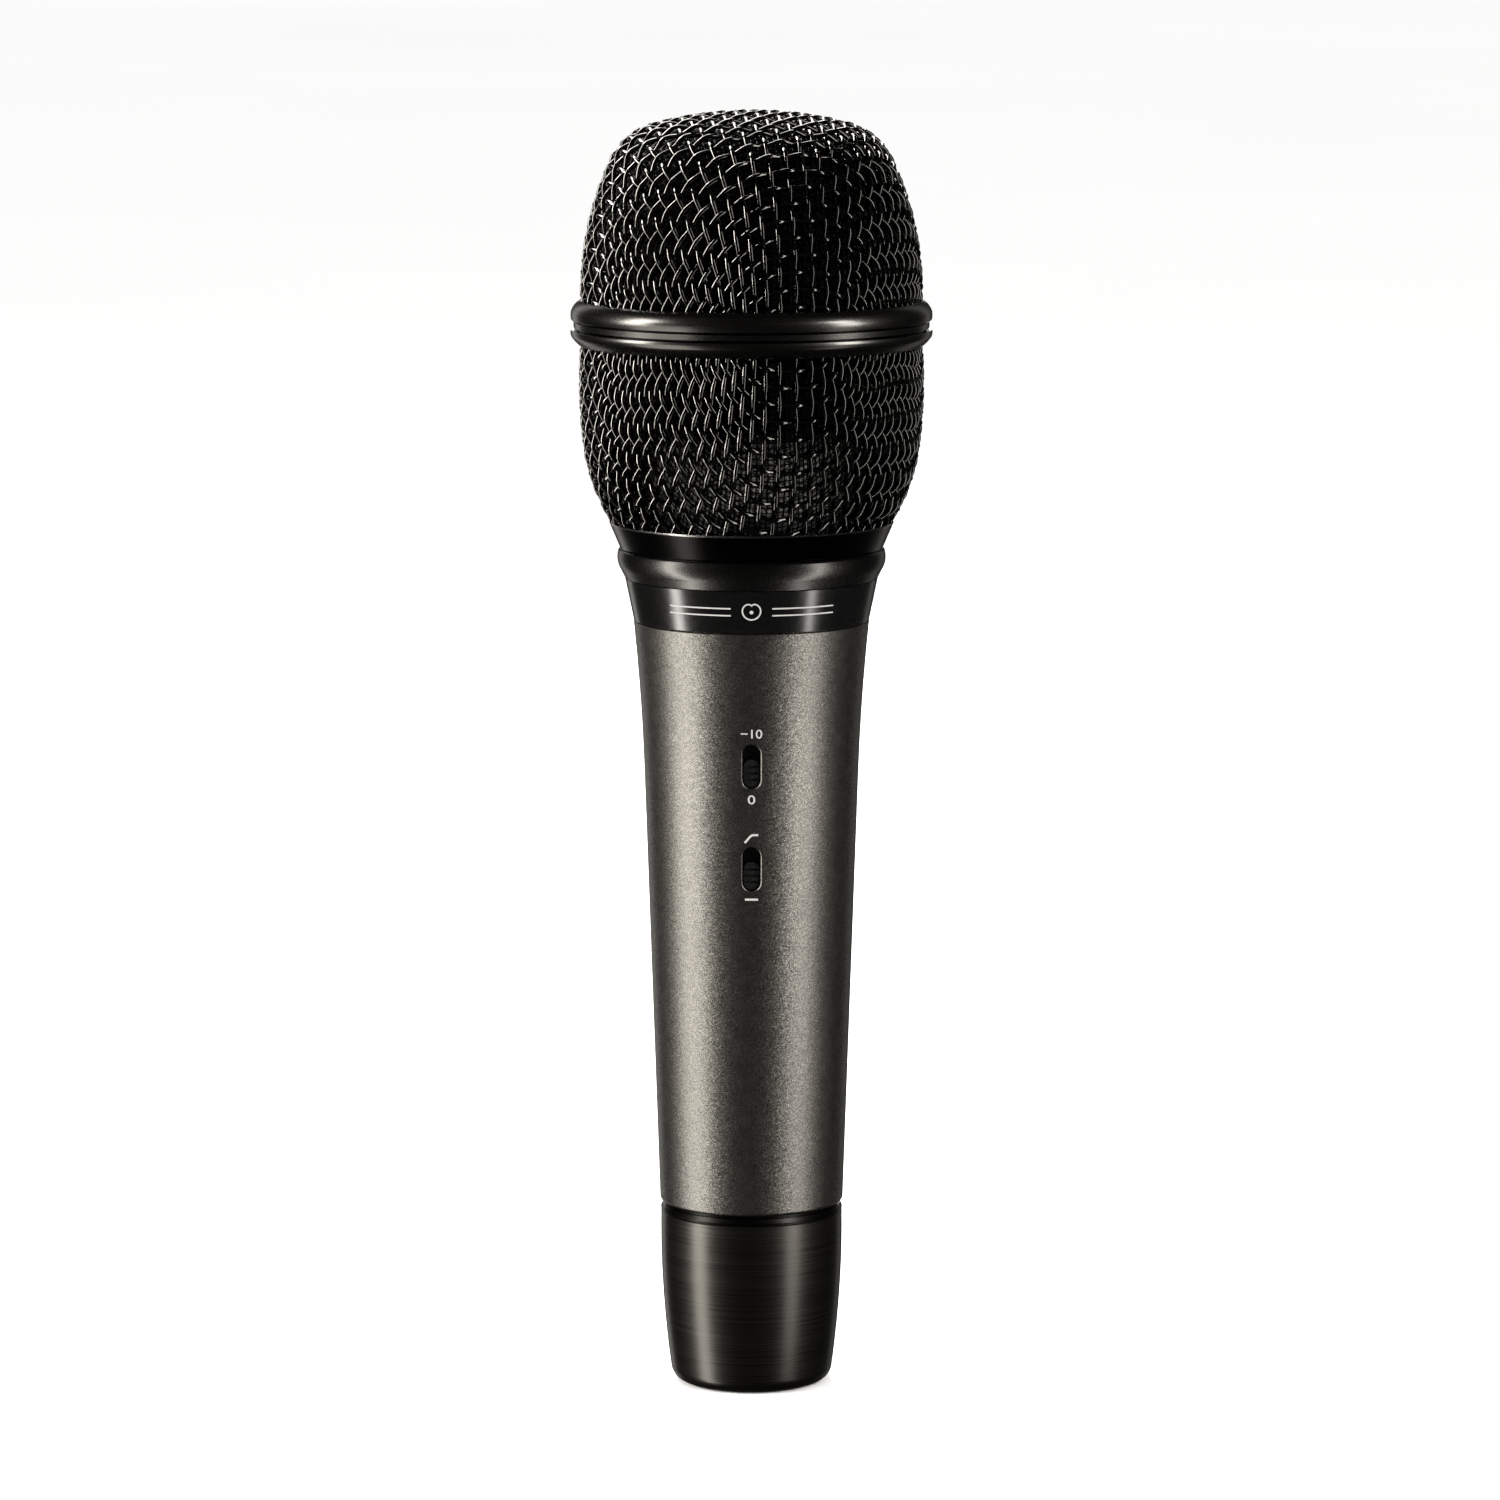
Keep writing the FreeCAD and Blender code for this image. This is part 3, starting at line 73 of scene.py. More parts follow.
# ------------------------------------------------------------------ mesh making
def mesh_object(name, verts, quads=(), tris=(), smooth=True, sharp=None):
    """A mesh object from arrays; sharp is the angle in degrees above which edges are sharp."""
    mesh = bpy.data.meshes.new(name)
    verts = np.asarray(verts, float) * MM
    quads = np.asarray(quads, np.int32).reshape(-1, 4)
    tris = np.asarray(tris, np.int32).reshape(-1, 3)
    loops = np.concatenate([quads.ravel(), tris.ravel()]).astype(np.int32)
    starts = np.concatenate([np.arange(len(quads)) * 4,
                             len(quads) * 4 + np.arange(len(tris)) * 3]).astype(np.int32)
    mesh.vertices.add(len(verts))
    mesh.vertices.foreach_set("co", verts.astype(np.float32).ravel())
    mesh.loops.add(len(loops))
    mesh.loops.foreach_set("vertex_index", loops)
    mesh.polygons.add(len(starts))
    mesh.polygons.foreach_set("loop_start", starts)
    mesh.update(calc_edges=True)
    mesh.validate()
    mesh.polygons.foreach_set("use_smooth", np.full(len(mesh.polygons), smooth))
    if sharp:
        mesh.set_sharp_from_angle(angle=math.radians(sharp))
    return linked(name, mesh)


def linked(name, data):
    """A new object in the scene."""
    piece = bpy.data.objects.new(name, data)
    bpy.context.scene.collection.objects.link(piece)
    return piece


def dress(piece, material, body=None, stands_for=()):
    piece.data.materials.clear()
    piece.data.materials.append(material)
    if body:
        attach(piece, body)
    if stands_for:
        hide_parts(*stands_for)
    return piece


def rounded(points, steps=4):
    """Closed (r, z[, corner radius]) outline with its marked corners rounded."""
    out = []
    for k, point in enumerate(points):
        corner = np.array(point[:2], float)
        if len(point) < 3:
            out.append(corner)
            continue
        before = np.array(points[k - 1][:2], float) - corner
        after = np.array(points[(k + 1) % len(points)][:2], float) - corner
        room_before, room_after = np.hypot(*before), np.hypot(*after)
        before, after = before / room_before, after / room_after
        half = math.acos(max(-1, min(1, float(before @ after)))) / 2
        run = min(point[2] / math.tan(half), room_before * 0.49, room_after * 0.49)
        radius = run * math.tan(half)
        middle = (before + after) / np.hypot(*(before + after))
        centre = corner + middle * radius / math.sin(half)
        start, end = corner + before * run - centre, corner + after * run - centre
        angle = math.atan2(start[1], start[0])
        sweep = (math.atan2(end[1], end[0]) - angle + PI) % (2 * PI) - PI
        for i in range(steps + 1):
            at = angle + sweep * i / steps
            out.append(centre + radius * np.array([math.cos(at), math.sin(at)]))
    return np.array(out)


def ring_quads(rows, around):
    """Faces of a grid that closes on itself both ways."""
    k, j = np.meshgrid(np.arange(rows), np.arange(around), indexing="ij")
    k2, j2 = (k + 1) % rows, (j + 1) % around
    corners = [k * around + j, k * around + j2, k2 * around + j2, k2 * around + j]
    return np.stack(corners, -1).reshape(-1, 4)


def lathe(outline, around, change=None):
    """Ring solid from a closed outline that runs anticlockwise in (r, z)."""
    outline = np.asarray(outline, float)
    angle = np.arange(around) * 2 * PI / around
    r = np.repeat(outline[:, :1], around, 1)
    z = np.repeat(outline[:, 1:], around, 1)
    if change:
        r = change(r, z, np.repeat(angle[None], len(outline), 0))
    verts = np.stack([r * np.cos(angle), r * np.sin(angle), z], -1).reshape(-1, 3)
    return verts, ring_quads(len(outline), around)


def tubes(runs, radius, sides):
    """Round wires along (points, normals) runs, with closed and slightly pointed ends."""
    tip_length = radius * 0.35
    angle = np.arange(sides) * 2 * PI / sides
    cos, sin = np.cos(angle)[None, :, None], np.sin(angle)[None, :, None]
    side = np.arange(sides)
    next_side = (side + 1) % sides
    verts, quads, tris, base = [], [], [], 0
    for path, normals in runs:
        tangent = np.gradient(path, axis=0)
        tangent /= np.linalg.norm(tangent, axis=1)[:, None]
        across = np.cross(tangent, normals)
        across /= np.linalg.norm(across, axis=1)[:, None]
        upright = np.cross(across, tangent)
        rings = path[:, None] + radius * (cos * across[:, None] + sin * upright[:, None])
        verts.append(rings.reshape(-1, 3))
        verts.append(np.stack([path[0] - tangent[0] * tip_length,
                               path[-1] + tangent[-1] * tip_length]))
        k, j = np.meshgrid(np.arange(len(path) - 1), side, indexing="ij")
        j2 = (j + 1) % sides
        near = base + k * sides
        far = near + sides
        quads.append(np.stack([near + j, far + j, far + j2, near + j2], -1).reshape(-1, 4))
        tip = base + len(path) * sides
        last = tip - sides
        tris.append(np.stack([np.full(sides, tip), base + side, base + next_side], -1))
        tris.append(np.stack([np.full(sides, tip + 1), last + next_side, last + side], -1))
        base = tip + 2
    return np.concatenate(verts), np.concatenate(quads), np.concatenate(tris)


def arc_centre(start, end, radius):
    """Centre of the arc from start to end, on the left of the way from one to the other."""
    way = end - start
    half = np.hypot(*way) / 2
    across = np.array([-way[1], way[0]]) / (2 * half)
    return (start + end) / 2 + across * math.sqrt(radius * radius - half * half)


# ------------------------------------------------------- the grille's two shapes
SPARE_RUN = 90.0     # straight run past a shape's end, so that the net reaches beyond the cut


def chain(arcs, steps=500):
    """Arc lengths, and a table of (r, z, normal r, normal z) at each, of a chain of arcs.
    Each arc is (centre r, centre z, radius, from angle, to angle)."""
    rows = []
    for centre_r, centre_z, radius, start, end in arcs:
        angle = np.linspace(start, end, steps)
        cos, sin = np.cos(angle), np.sin(angle)
        rows.append(np.stack([centre_r + radius * cos, centre_z + radius * sin, cos, sin], 1))
    rows = np.concatenate(rows)
    gaps = np.hypot(*np.diff(rows[:, :2], axis=0).T)
    rows = rows[np.r_[True, gaps > 1e-7]]
    lengths = np.r_[0, np.cumsum(np.hypot(*np.diff(rows[:, :2], axis=0).T))]
    way = (rows[-1, :2] - rows[-2, :2]) / (lengths[-1] - lengths[-2])
    beyond = rows[-1].copy()
    beyond[:2] += way * SPARE_RUN
    return np.r_[lengths, lengths[-1] + SPARE_RUN], np.vstack([rows, beyond])


def dome(inset):
    """Upper half, from its top down: crown, shoulder and side."""
    crown_joint = math.atan2(0.964724, 0.263262)
    side_joint = math.atan2(0.424354, 0.905496)
    side_r, side_z, side_radius = -20.506, 156.381, 44.421 - inset
    foot_z = 153.1
    return chain([(0, 129.7426, 52.334 - inset, PI / 2, crown_joint),
                  (11.341, 171.307, 9.25 - inset, crown_joint, side_joint),
                  (side_r, side_z, side_radius, side_joint,
                   math.asin((foot_z - side_z) / side_radius))])


def bowl(inset):
    """Lower half, from its bottom up: base and side."""
    base_r, base_z, base_radius = -3.266, 138.098, 27.052 - inset
    side_r, side_z, side_radius = -47.916, 143.552, 72.033 - inset
    joint = math.atan2(-0.121553, 0.992585)
    rim_z = 151.3
    return chain([(base_r, base_z, base_radius, -math.acos(-base_r / base_radius), joint),
                  (side_r, side_z, side_radius, joint,
                   math.asin((rim_z - side_z) / side_radius))])


def shape_at(table, arc):
    """r, z, normal r and normal z at arc lengths from the pole."""
    lengths, rows = table
    return [np.interp(arc, lengths, rows[:, k]) for k in range(4)]


def cloth_to_shape(x, y, table, diagonal):
    """Where a point (x, y) of a square-woven cloth ends up when it is pressed over the shape.
    Along the cloth's two axes the wires keep their spacing; on the diagonals the weave shears
    and draws longer. diagonal: arc lengths there, and the cloth lengths that reach them."""
    quarter, bell_width = PI / 4, math.radians(15.3)
    fine = np.linspace(0, quarter, 400)
    bell = np.exp(-(fine / bell_width) ** 2)
    area = np.r_[0, np.cumsum((bell[1:] + bell[:-1]) / 2 * (fine[1] - fine[0]))]
    full = area[-1]
    across, along = np.abs(x), np.abs(y)
    cloth_length = np.hypot(across, along)
    cloth_angle = np.arctan2(along, across)
    swap = cloth_angle > quarter
    cloth_angle = np.where(swap, PI / 2 - cloth_angle, cloth_angle)
    arc, angle = cloth_length.copy(), cloth_angle.copy()
    for _ in range(40):
        r = shape_at(table, arc)[0]
        # cloth angle per shape angle: on the axis, and far from it
        on_axis = np.where(arc > 1e-6, r / np.maximum(arc, 1e-6), 1.0)
        off_axis = (quarter - on_axis * full) / (quarter - full)
        extra = off_axis - on_axis
        for _ in range(3):
            reached = off_axis * angle - extra * np.interp(angle, fine, area)
            slope = off_axis - extra * np.exp(-(angle / bell_width) ** 2)
            angle = np.clip(angle - (reached - cloth_angle) / slope, 0, quarter)
        drawn = np.interp(arc, *diagonal)
        short = np.where(arc > 1e-6, 1 - drawn / np.maximum(arc, 1e-6), 0.0)
        arc = 0.5 * arc + 0.5 * cloth_length / (1 - short * np.sin(2 * angle) ** 3)
    angle = np.where(swap, PI / 2 - angle, angle)
    return arc * np.cos(angle) * np.sign(x), arc * np.sin(angle) * np.sign(y)


def weave(shape, inset, pitch, per, rise, turn, diagonal, z_low, z_high, reach,
          shift=(0, 0), flip=1, swell=1.0):
    """Runs of the two wire families of a plain weave pressed to the shape.
    per: samples per pitch; rise: half the over-and-under travel; turn: azimuth of the cloth's
    own axis; reach: half the cloth's width; shift: where the first wire of each family lies,
    in samples; swell: share by which the net is opened out from the axis."""
    table = shape(inset)
    step = pitch / per
    count = int(math.ceil(reach / step))
    index = np.arange(-count, count + 1)
    index_x, index_y = np.meshgrid(index, index, indexing="ij")
    x, y = cloth_to_shape(index_x * step, index_y * step, table, diagonal)
    arc = np.hypot(x, y)
    azimuth = np.arctan2(y, x) + turn
    cos, sin = np.cos(azimuth), np.sin(azimuth)
    r, z, normal_r, normal_z = shape_at(table, arc)
    length = np.hypot(normal_r, normal_z)
    normal_r, normal_z = normal_r / length, normal_z / length
    points = np.stack([r * swell * cos, r * swell * sin, z], -1)
    normals = np.stack([normal_r * cos, normal_r * sin, normal_z], -1)
    inside = (z >= z_low) & (z <= z_high) & (arc < table[0][-2] + 0.5)
    families = []
    for family in (0, 1):
        runs = []
        crossing = (index - shift[1 - family]) / per
        for wire in range(-(count // per) + 1, count // per):
            k = wire * per + count + shift[family]
            row = k if family == 0 else (slice(None), k)
            sign = (1 if wire % 2 == 0 else -1) * (1 if family == 0 else -1) * flip
            normal = normals[row]
            path = points[row] + normal * (rise * sign * np.cos(PI * crossing))[:, None]
            edges = np.flatnonzero(np.diff(np.r_[0, inside[row].astype(int), 0]))
            for start, end in zip(edges[::2], edges[1::2]):
                if end - start >= 3:
                    runs.append((path[start:end], normal[start:end]))
        families.append(runs)
    return families


# -------------------------------------------------------------------- materials
class Look:
    """A procedural material built node by node, in the object's own metres."""

    def __init__(self, name):
        self.material = bpy.data.materials.new(name)
        self.material.use_nodes = True
        self.tree = self.material.node_tree
        self.tree.nodes.clear()
        self.shader = self.add("BsdfPrincipled")
        self.add("OutputMaterial", self.shader.outputs[0])
        self.place = self.add("TexCoord").outputs["Object"]

    def add(self, kind, *values, **settings):
        """A new node with its settings, and its first inputs filled in order."""
        node = self.tree.nodes.new("ShaderNode" + kind)
        for key, value in settings.items():
            setattr(node, key, value)
        for socket, value in zip(node.inputs, values):
            self.put(socket, value)
        return node

    def put(self, socket, value):
        """Link or set one input."""
        if isinstance(value, bpy.types.NodeSocket):
            self.tree.links.new(value, socket)
        elif isinstance(value, (tuple, list)) and len(value) == 3 and socket.type == "RGBA":
            socket.default_value = (*value, 1)
        else:
            socket.default_value = value

    def fill(self, node, **inputs):
        """Set inputs by name, with underscores for spaces."""
        for key, value in inputs.items():
            self.put(node.inputs[key.replace("_", " ")], value)

    def finish(self, **inputs):
        """Set the shader's inputs and hand over the material."""
        self.fill(self.shader, **inputs)
        return self.material

    def noise(self, scale, detail=2.0, rough=0.5, bend=0.0, place=None):
        node = self.add("TexNoise")
        self.fill(node, Vector=place or self.place, Scale=scale, Detail=detail,
                  Roughness=rough, Distortion=bend)
        return node.outputs["Fac"]

    def streaks(self, scales, **settings):
        """Noise with its own scale along each of x, y and z."""
        return self.noise(1.0, place=self.vector("MULTIPLY", self.place, scales), **settings)

    def cells(self, scale, output="Color"):
        node = self.add("TexVoronoi")
        self.fill(node, Vector=self.place, Scale=scale)
        return node.outputs[output]

    def wave(self, scale, direction):
        node = self.add("TexWave", bands_direction=direction)
        self.fill(node, Vector=self.place, Scale=scale)
        return node.outputs["Fac"]

    def calc(self, operation, a, b=0.0):
        return self.add("Math", a, b, 0.0, operation=operation).outputs[0]

    def times(self, a, b):
        return self.calc("MULTIPLY", a, b)

    def vector(self, operation, *values):
        return self.add("VectorMath", *values, operation=operation).outputs[0]

    def split(self, vector=None):
        return self.add("SeparateXYZ", vector or self.place).outputs[:3]

    def radius(self, x, y):
        return self.calc("SQRT", self.calc("ADD", self.times(x, x), self.times(y, y)))

    def span(self, fac, start=0.3, end=0.7, low=0.0, high=1.0):
        """fac from start..end mapped to low..high; the default range suits noise."""
        return self.add("MapRange", fac, start, end, low, high).outputs[0]

    def mix(self, fac, low, high):
        """Colour low where fac is 0, high where it is 1."""
        node = self.add("Mix", fac, data_type="RGBA")
        self.put(node.inputs[6], low)
        self.put(node.inputs[7], high)
        return node.outputs[2]

    def bump(self, height, depth, strength=1.0, over=None):
        """Relief of a depth in metres, laid over another normal if given."""
        node = self.add("Bump")
        self.fill(node, Strength=strength, Distance=depth, Height=height)
        if over is not None:
            self.fill(node, Normal=over)
        return node.outputs[0]

    def turned(self):
        """Normal of a round piece on the main axis, so that its facets and seams don't show."""
        geometry = self.add("NewGeometry")
        normal = geometry.outputs["Normal"]
        x, y, _ = self.split(geometry.outputs["Position"])
        upward = self.split(normal)[2]
        radius = self.radius(x, y)
        flat = self.calc("SQRT", self.calc("SUBTRACT", 1.0, self.times(upward, upward)))
        share = self.calc("DIVIDE", flat, radius)
        smooth = self.add("CombineXYZ", self.times(x, share), self.times(y, share),
                          upward).outputs[0]
        dot = self.add("VectorMath", normal, smooth, operation="DOT_PRODUCT")
        close = self.calc("GREATER_THAN", dot.outputs["Value"], 0.985)
        pick = self.add("Mix", close, data_type="VECTOR")
        self.put(pick.inputs[4], normal)
        self.put(pick.inputs[5], smooth)
        return pick.outputs[1]

    def flecks(self, scale, amount, normal):
        """Normal tilted a little at random in each fleck, as metal flake in paint."""
        centred = self.vector("SUBTRACT", self.cells(scale), (0.5, 0.5, 0.5))
        tilt = self.add("VectorMath", centred, operation="SCALE")
        self.fill(tilt, Scale=amount)
        return self.vector("NORMALIZE", self.vector("ADD", tilt.outputs[0], normal))


def simple(name, base, metallic=0.0, roughness=0.4, vary=0.2, scale=900.0, depth=6e-6,
           rough_vary=0.08, coat=0.0):
    """Plain-looking finish: mottled colour, uneven gloss and a fine surface texture."""
    look = Look(name)
    mottle = look.noise(scale, detail=4, rough=0.6)
    fine = look.noise(6000.0, detail=3, rough=0.6)
    dark = tuple(c * (1 - vary) for c in base)
    light = tuple(min(1, c * (1 + vary)) for c in base)
    return look.finish(
        Base_Color=look.mix(look.span(mottle), dark, light),
        Metallic=metallic,
        Roughness=look.span(look.noise(scale * 2.3, detail=3),
                            low=roughness - rough_vary, high=roughness + rough_vary),
        Normal=look.bump(fine, depth),
        Coat_Weight=coat)


def handle_paint():
    look = Look("warm_grey_metallic_paint")
    fleck_scale = 7500
    tone = look.add("RGBToBW", look.cells(fleck_scale)).outputs[0]
    soft = look.noise(160, detail=3, rough=0.55)
    base = look.mix(look.span(tone, start=0.15, end=0.85),
                    low=(0.066, 0.0635, 0.058), high=(0.150, 0.144, 0.131))
    base = look.mix(look.span(soft, high=0.16), base, high=(0.066, 0.063, 0.058))
    peel = look.bump(look.noise(420, rough=0.4), depth=1.0e-6, over=look.turned())
    return look.finish(
        Base_Color=base,
        Metallic=1.0,
        Roughness=look.span(look.noise(700, detail=3), low=0.345, high=0.385),
        Normal=look.flecks(fleck_scale, amount=0.145, normal=peel),
        Coat_Weight=0.08, Coat_Roughness=0.3, Coat_IOR=1.45)


def black_turned(name, base=(0.053, 0.0505, 0.046)):
    """Black metal with the fine rings that a lathe leaves."""
    look = Look(name)
    roughness, line_depth = 0.29, 0.5e-6
    rings = look.streaks((25, 25, 7500), detail=3, rough=0.7)
    wide = look.streaks((20, 20, 1100))
    both = look.calc("ADD", look.times(rings, 0.88), look.times(wide, 0.12))
    tone = look.span(both, start=0.35, end=0.65)
    return look.finish(
        Base_Color=look.mix(tone, tuple(c * 0.82 for c in base), tuple(c * 1.2 for c in base)),
        Metallic=1.0,
        Roughness=look.span(both, low=roughness - 0.04, high=roughness + 0.05),
        Normal=look.bump(rings, line_depth,
                         over=look.bump(wide, line_depth * 0.7, over=look.turned())))


def gunmetal():
    """Satin metal, with painted shade: near black at the bottom of the rolled band's two grooves.
    """
    look = Look("dark_gunmetal_satin")
    rings = look.streaks((18, 18, 5200), detail=3, rough=0.65)
    fine = look.noise(5200, detail=3, rough=0.6)
    tone = look.span(look.calc("ADD", look.times(rings, 0.7), look.times(fine, 0.3)),
                     start=0.35, end=0.65)
    x, y, z = look.split()
    radius = look.radius(x, y)
    grooves_low, grooves_high = 0.15124, 0.15268
    # painted shade: the groove bottoms, inside the outer faces, are painted near black where shade
    # falls
    level = look.times(look.calc("GREATER_THAN", z, grooves_low),
                       look.calc("LESS_THAN", z, grooves_high))
    root = look.times(level, look.span(radius, start=0.02492, end=0.02504, low=1.0, high=0.0))
    base = look.mix(tone, low=(0.042, 0.041, 0.0385), high=(0.064, 0.0625, 0.059))
    return look.finish(
        Base_Color=look.mix(look.times(root, 0.97), base, high=(0.001, 0.001, 0.001)),
        Metallic=1.0,
        Roughness=look.span(fine, low=0.22, high=0.28),
        Normal=look.bump(rings, depth=0.6e-6, over=look.bump(fine, depth=0.7e-6)))


def satin_black():
    """Satin black, with a painted highlight: a pale line round its top."""
    look = Look("satin_black_paint")
    fine = look.noise(4200, detail=4, rough=0.65)
    rings = look.streaks((15, 15, 2600))
    z = look.split()[2]
    # painted highlight: the top lip is painted pale metal, a little mottled, to give the light
    # line that it catches
    painted_top_highlight = look.times(look.span(z, start=0.12378, end=0.12392),
                      look.span(fine, start=0.25, end=0.6, low=0.5))
    base = look.mix(look.span(fine), low=(0.0055, 0.0054, 0.0052), high=(0.0100, 0.0098, 0.0094))
    return look.finish(
        Base_Color=look.mix(painted_top_highlight, base, high=(0.34, 0.33, 0.31)),
        Metallic=1.0,
        Roughness=look.span(fine, low=0.21, high=0.27),
        Normal=look.bump(fine, depth=1.5e-6,
                         over=look.bump(rings, depth=1e-6, over=look.turned())))


def ring_rubber():
    look = Look("fine_grained_black_ring")
    grain = look.noise(5200, detail=4, rough=0.7)
    pits = look.cells(3000, "Distance")
    rings = look.streaks((30, 30, 3800))
    under = look.bump(rings, depth=1.2e-6, over=look.turned())
    return look.finish(
        Base_Color=look.mix(look.span(grain), low=(0.020, 0.0196, 0.0188),
                            high=(0.046, 0.045, 0.043)),
        Metallic=1.0,
        Roughness=look.span(grain, low=0.24, high=0.33),
        Normal=look.bump(grain, depth=3e-6, over=look.bump(pits, depth=2e-6, over=under)))


def gloss_black():
    look = Look("gloss_black_enamel")
    wavy = look.noise(260, rough=0.4)
    dust = look.noise(9000)
    return look.finish(
        Base_Color=look.mix(look.span(dust, start=0.4, end=0.75),
                            low=(0.0012, 0.0012, 0.0012), high=(0.0026, 0.0025, 0.0024)),
        Metallic=0.0,
        Roughness=look.span(look.noise(900, detail=3), low=0.18, high=0.22),
        Specular_IOR_Level=0.40,
        Normal=look.bump(wavy, depth=2e-6, over=look.turned()),
        Coat_Weight=0.0)


def wire_paint():
    look = Look("black_wire_lacquer")
    fine = look.noise(2600, detail=3, rough=0.6)
    run = look.noise(700)
    return look.finish(
        Base_Color=look.mix(look.span(run), low=(0.050, 0.049, 0.047), high=(0.085, 0.083, 0.080)),
        Metallic=1.0,
        Roughness=look.span(fine, low=0.045, high=0.085),
        Normal=look.bump(fine, depth=1.0e-6, over=look.bump(run, depth=3e-6)))


def foam_look(name, dark, light, pore_start=0.25, pore_end=0.85, painted_floor_light=False):
    """Open foam. With the last flag set, its light colour shows only low down at the front and
    back, a painted pool of light from the floor; elsewhere it is painted dark.
    """
    look = Look(name)
    pores = look.cells(2600, "Distance")
    big = look.cells(1300, "Distance")
    fuzz = look.noise(5200, detail=4, rough=0.7)
    pit = look.calc("ADD", look.times(look.span(pores, start=0.05, end=0.55), 0.55),
                    look.calc("ADD", look.times(look.span(big, start=0.05, end=0.6), 0.3),
                              look.times(fuzz, 0.25)))
    base = look.mix(look.span(pit, pore_start, pore_end), light, dark)
    if painted_floor_light:
        # painted light: the foam keeps its light colour only low down at the front and back, where
        # the floor's bounce would fall; higher up and at the sides it is painted dark as shade
        x, _, z = look.split()
        high = look.span(z, start=0.1335, end=0.1385)
        aside = look.span(look.calc("ABSOLUTE", x), start=0.0095, end=0.0145)
        base = look.mix(look.calc("MAXIMUM", high, aside), base, dark)
    return look.finish(
        Base_Color=base, Roughness=0.95, Specular_IOR_Level=0.05,
        Normal=look.bump(look.calc("SUBTRACT", 1.0, pit), depth=1.5e-4, strength=0.8))


def resistor():
    """Lacquered body with colour code bands across z."""
    look = Look("banded_resistor")
    repeat, half_band = 0.0042, 0.05
    bands = (    # place as a share of the repeat, colour
        (0.25, (0.3, 0.05, 0.02)), (0.42, (0.25, 0.02, 0.25)),
        (0.60, (0.45, 0.2, 0.02)), (0.80, (0.5, 0.36, 0.08)))
    share = look.calc("FRACT", look.times(look.split()[2], 1 / repeat))
    colour = (0.36, 0.25, 0.13)
    for at, band in bands:
        away = look.calc("ABSOLUTE", look.calc("SUBTRACT", share, at))
        colour = look.mix(look.calc("LESS_THAN", away, half_band), colour, band)
    fine = look.noise(3000, detail=3)
    return look.finish(
        Base_Color=look.mix(look.span(fine, high=0.25), colour, high=(0.02, 0.02, 0.02)),
        Roughness=0.35, Normal=look.bump(fine, depth=8e-6), Coat_Weight=0.3)


def board():
    look = Look("green_circuit_board")
    tracks = look.add("TexBrick")
    look.fill(tracks, Vector=look.vector("MULTIPLY", look.place, (1, 1, 1)),
              Scale=380, Mortar_Size=0.035)
    tracks = tracks.outputs["Fac"]
    cloth = look.times(look.wave(1700, "X"), look.wave(1700, "Z"))
    base = look.mix(look.span(cloth, start=0, end=1),
                    low=(0.010, 0.075, 0.030), high=(0.018, 0.115, 0.045))
    return look.finish(
        Base_Color=look.mix(tracks, base, high=(0.035, 0.17, 0.075)),
        Roughness=look.span(look.noise(1500, detail=3), low=0.25, high=0.4),
        Normal=look.bump(tracks, depth=2e-5, over=look.bump(cloth, depth=5e-6)),
        Coat_Weight=0.5)


def felt():
    look = Look("pressed_grey_felt")
    fibres = look.streaks((2500, 9000, 4000), detail=5, rough=0.7, bend=2.0)
    fuzz = look.noise(5200, detail=5, rough=0.75)
    return look.finish(
        Base_Color=look.mix(look.span(look.times(fibres, fuzz), start=0.12, end=0.42),
                            low=(0.10, 0.10, 0.10), high=(0.30, 0.30, 0.29)),
        Roughness=1.0, Sheen_Weight=0.5,
        Normal=look.bump(fibres, depth=8e-5, strength=0.9, over=look.bump(fuzz, depth=4e-5)))


def machined(name, base, roughness):
    """Stained metal with fine tool lines across z."""
    look = Look(name)
    lines = look.streaks((18, 18, 4000), detail=3, rough=0.7)
    stain = look.noise(500, detail=4, rough=0.6)
    return look.finish(
        Base_Color=look.mix(look.span(stain, start=0.35, end=0.75, high=0.8),
                            base, tuple(c * 0.72 for c in base)),
        Metallic=1.0,
        Roughness=look.span(lines, low=roughness - 0.07, high=roughness + 0.09),
        Normal=look.bump(lines, depth=4e-6))


def threaded():
    """Turned brass with a thread on the upper part of its outside, its thread roots painted dark
    as shade.
    """
    look = Look("rolled_brass_thread")
    threads_per_metre = 1000.0
    inner_radius, thread_foot = 0.0146, 0.1105
    x, y, z = look.split()
    turn = look.calc("DIVIDE", look.calc("ARCTAN2", y, x), 2 * PI)
    phase = look.calc("FRACT", look.calc("ADD", look.times(z, threads_per_metre),
                                         look.calc("ADD", turn, 1.0)))
    swing = look.calc("SUBTRACT", look.times(phase, 2.0), 1.0)
    ridge = look.calc("SUBTRACT", 1.0, look.calc("ABSOLUTE", swing))
    ridge = look.span(ridge, start=0.08, end=0.92)
    outside = look.calc("GREATER_THAN", look.radius(x, y), inner_radius)
    cut = look.times(outside, look.calc("GREATER_THAN", z, thread_foot))
    lines = look.streaks((18, 18, 4000), detail=3, rough=0.7)
    # painted shade: the thread roots are painted dark brown, as shade in the recesses
    root = look.times(cut, look.calc("SUBTRACT", 1.0, ridge))
    return look.finish(
        Base_Color=look.mix(look.times(root, 0.85),
                            low=(0.62, 0.46, 0.22), high=(0.10, 0.065, 0.03)),
        Metallic=1.0,
        Roughness=look.span(lines, low=0.22, high=0.36),
        Normal=look.bump(look.times(cut, ridge), depth=4.5e-4,
                         over=look.bump(lines, depth=3e-6)))


def printed():
    look = Look("pad_printed_ink")
    fine = look.noise(6000, detail=3)
    return look.finish(
        Base_Color=look.mix(look.span(fine), low=(0.19, 0.188, 0.182), high=(0.25, 0.247, 0.24)),
        Roughness=0.5, Normal=look.bump(fine, depth=6e-6))


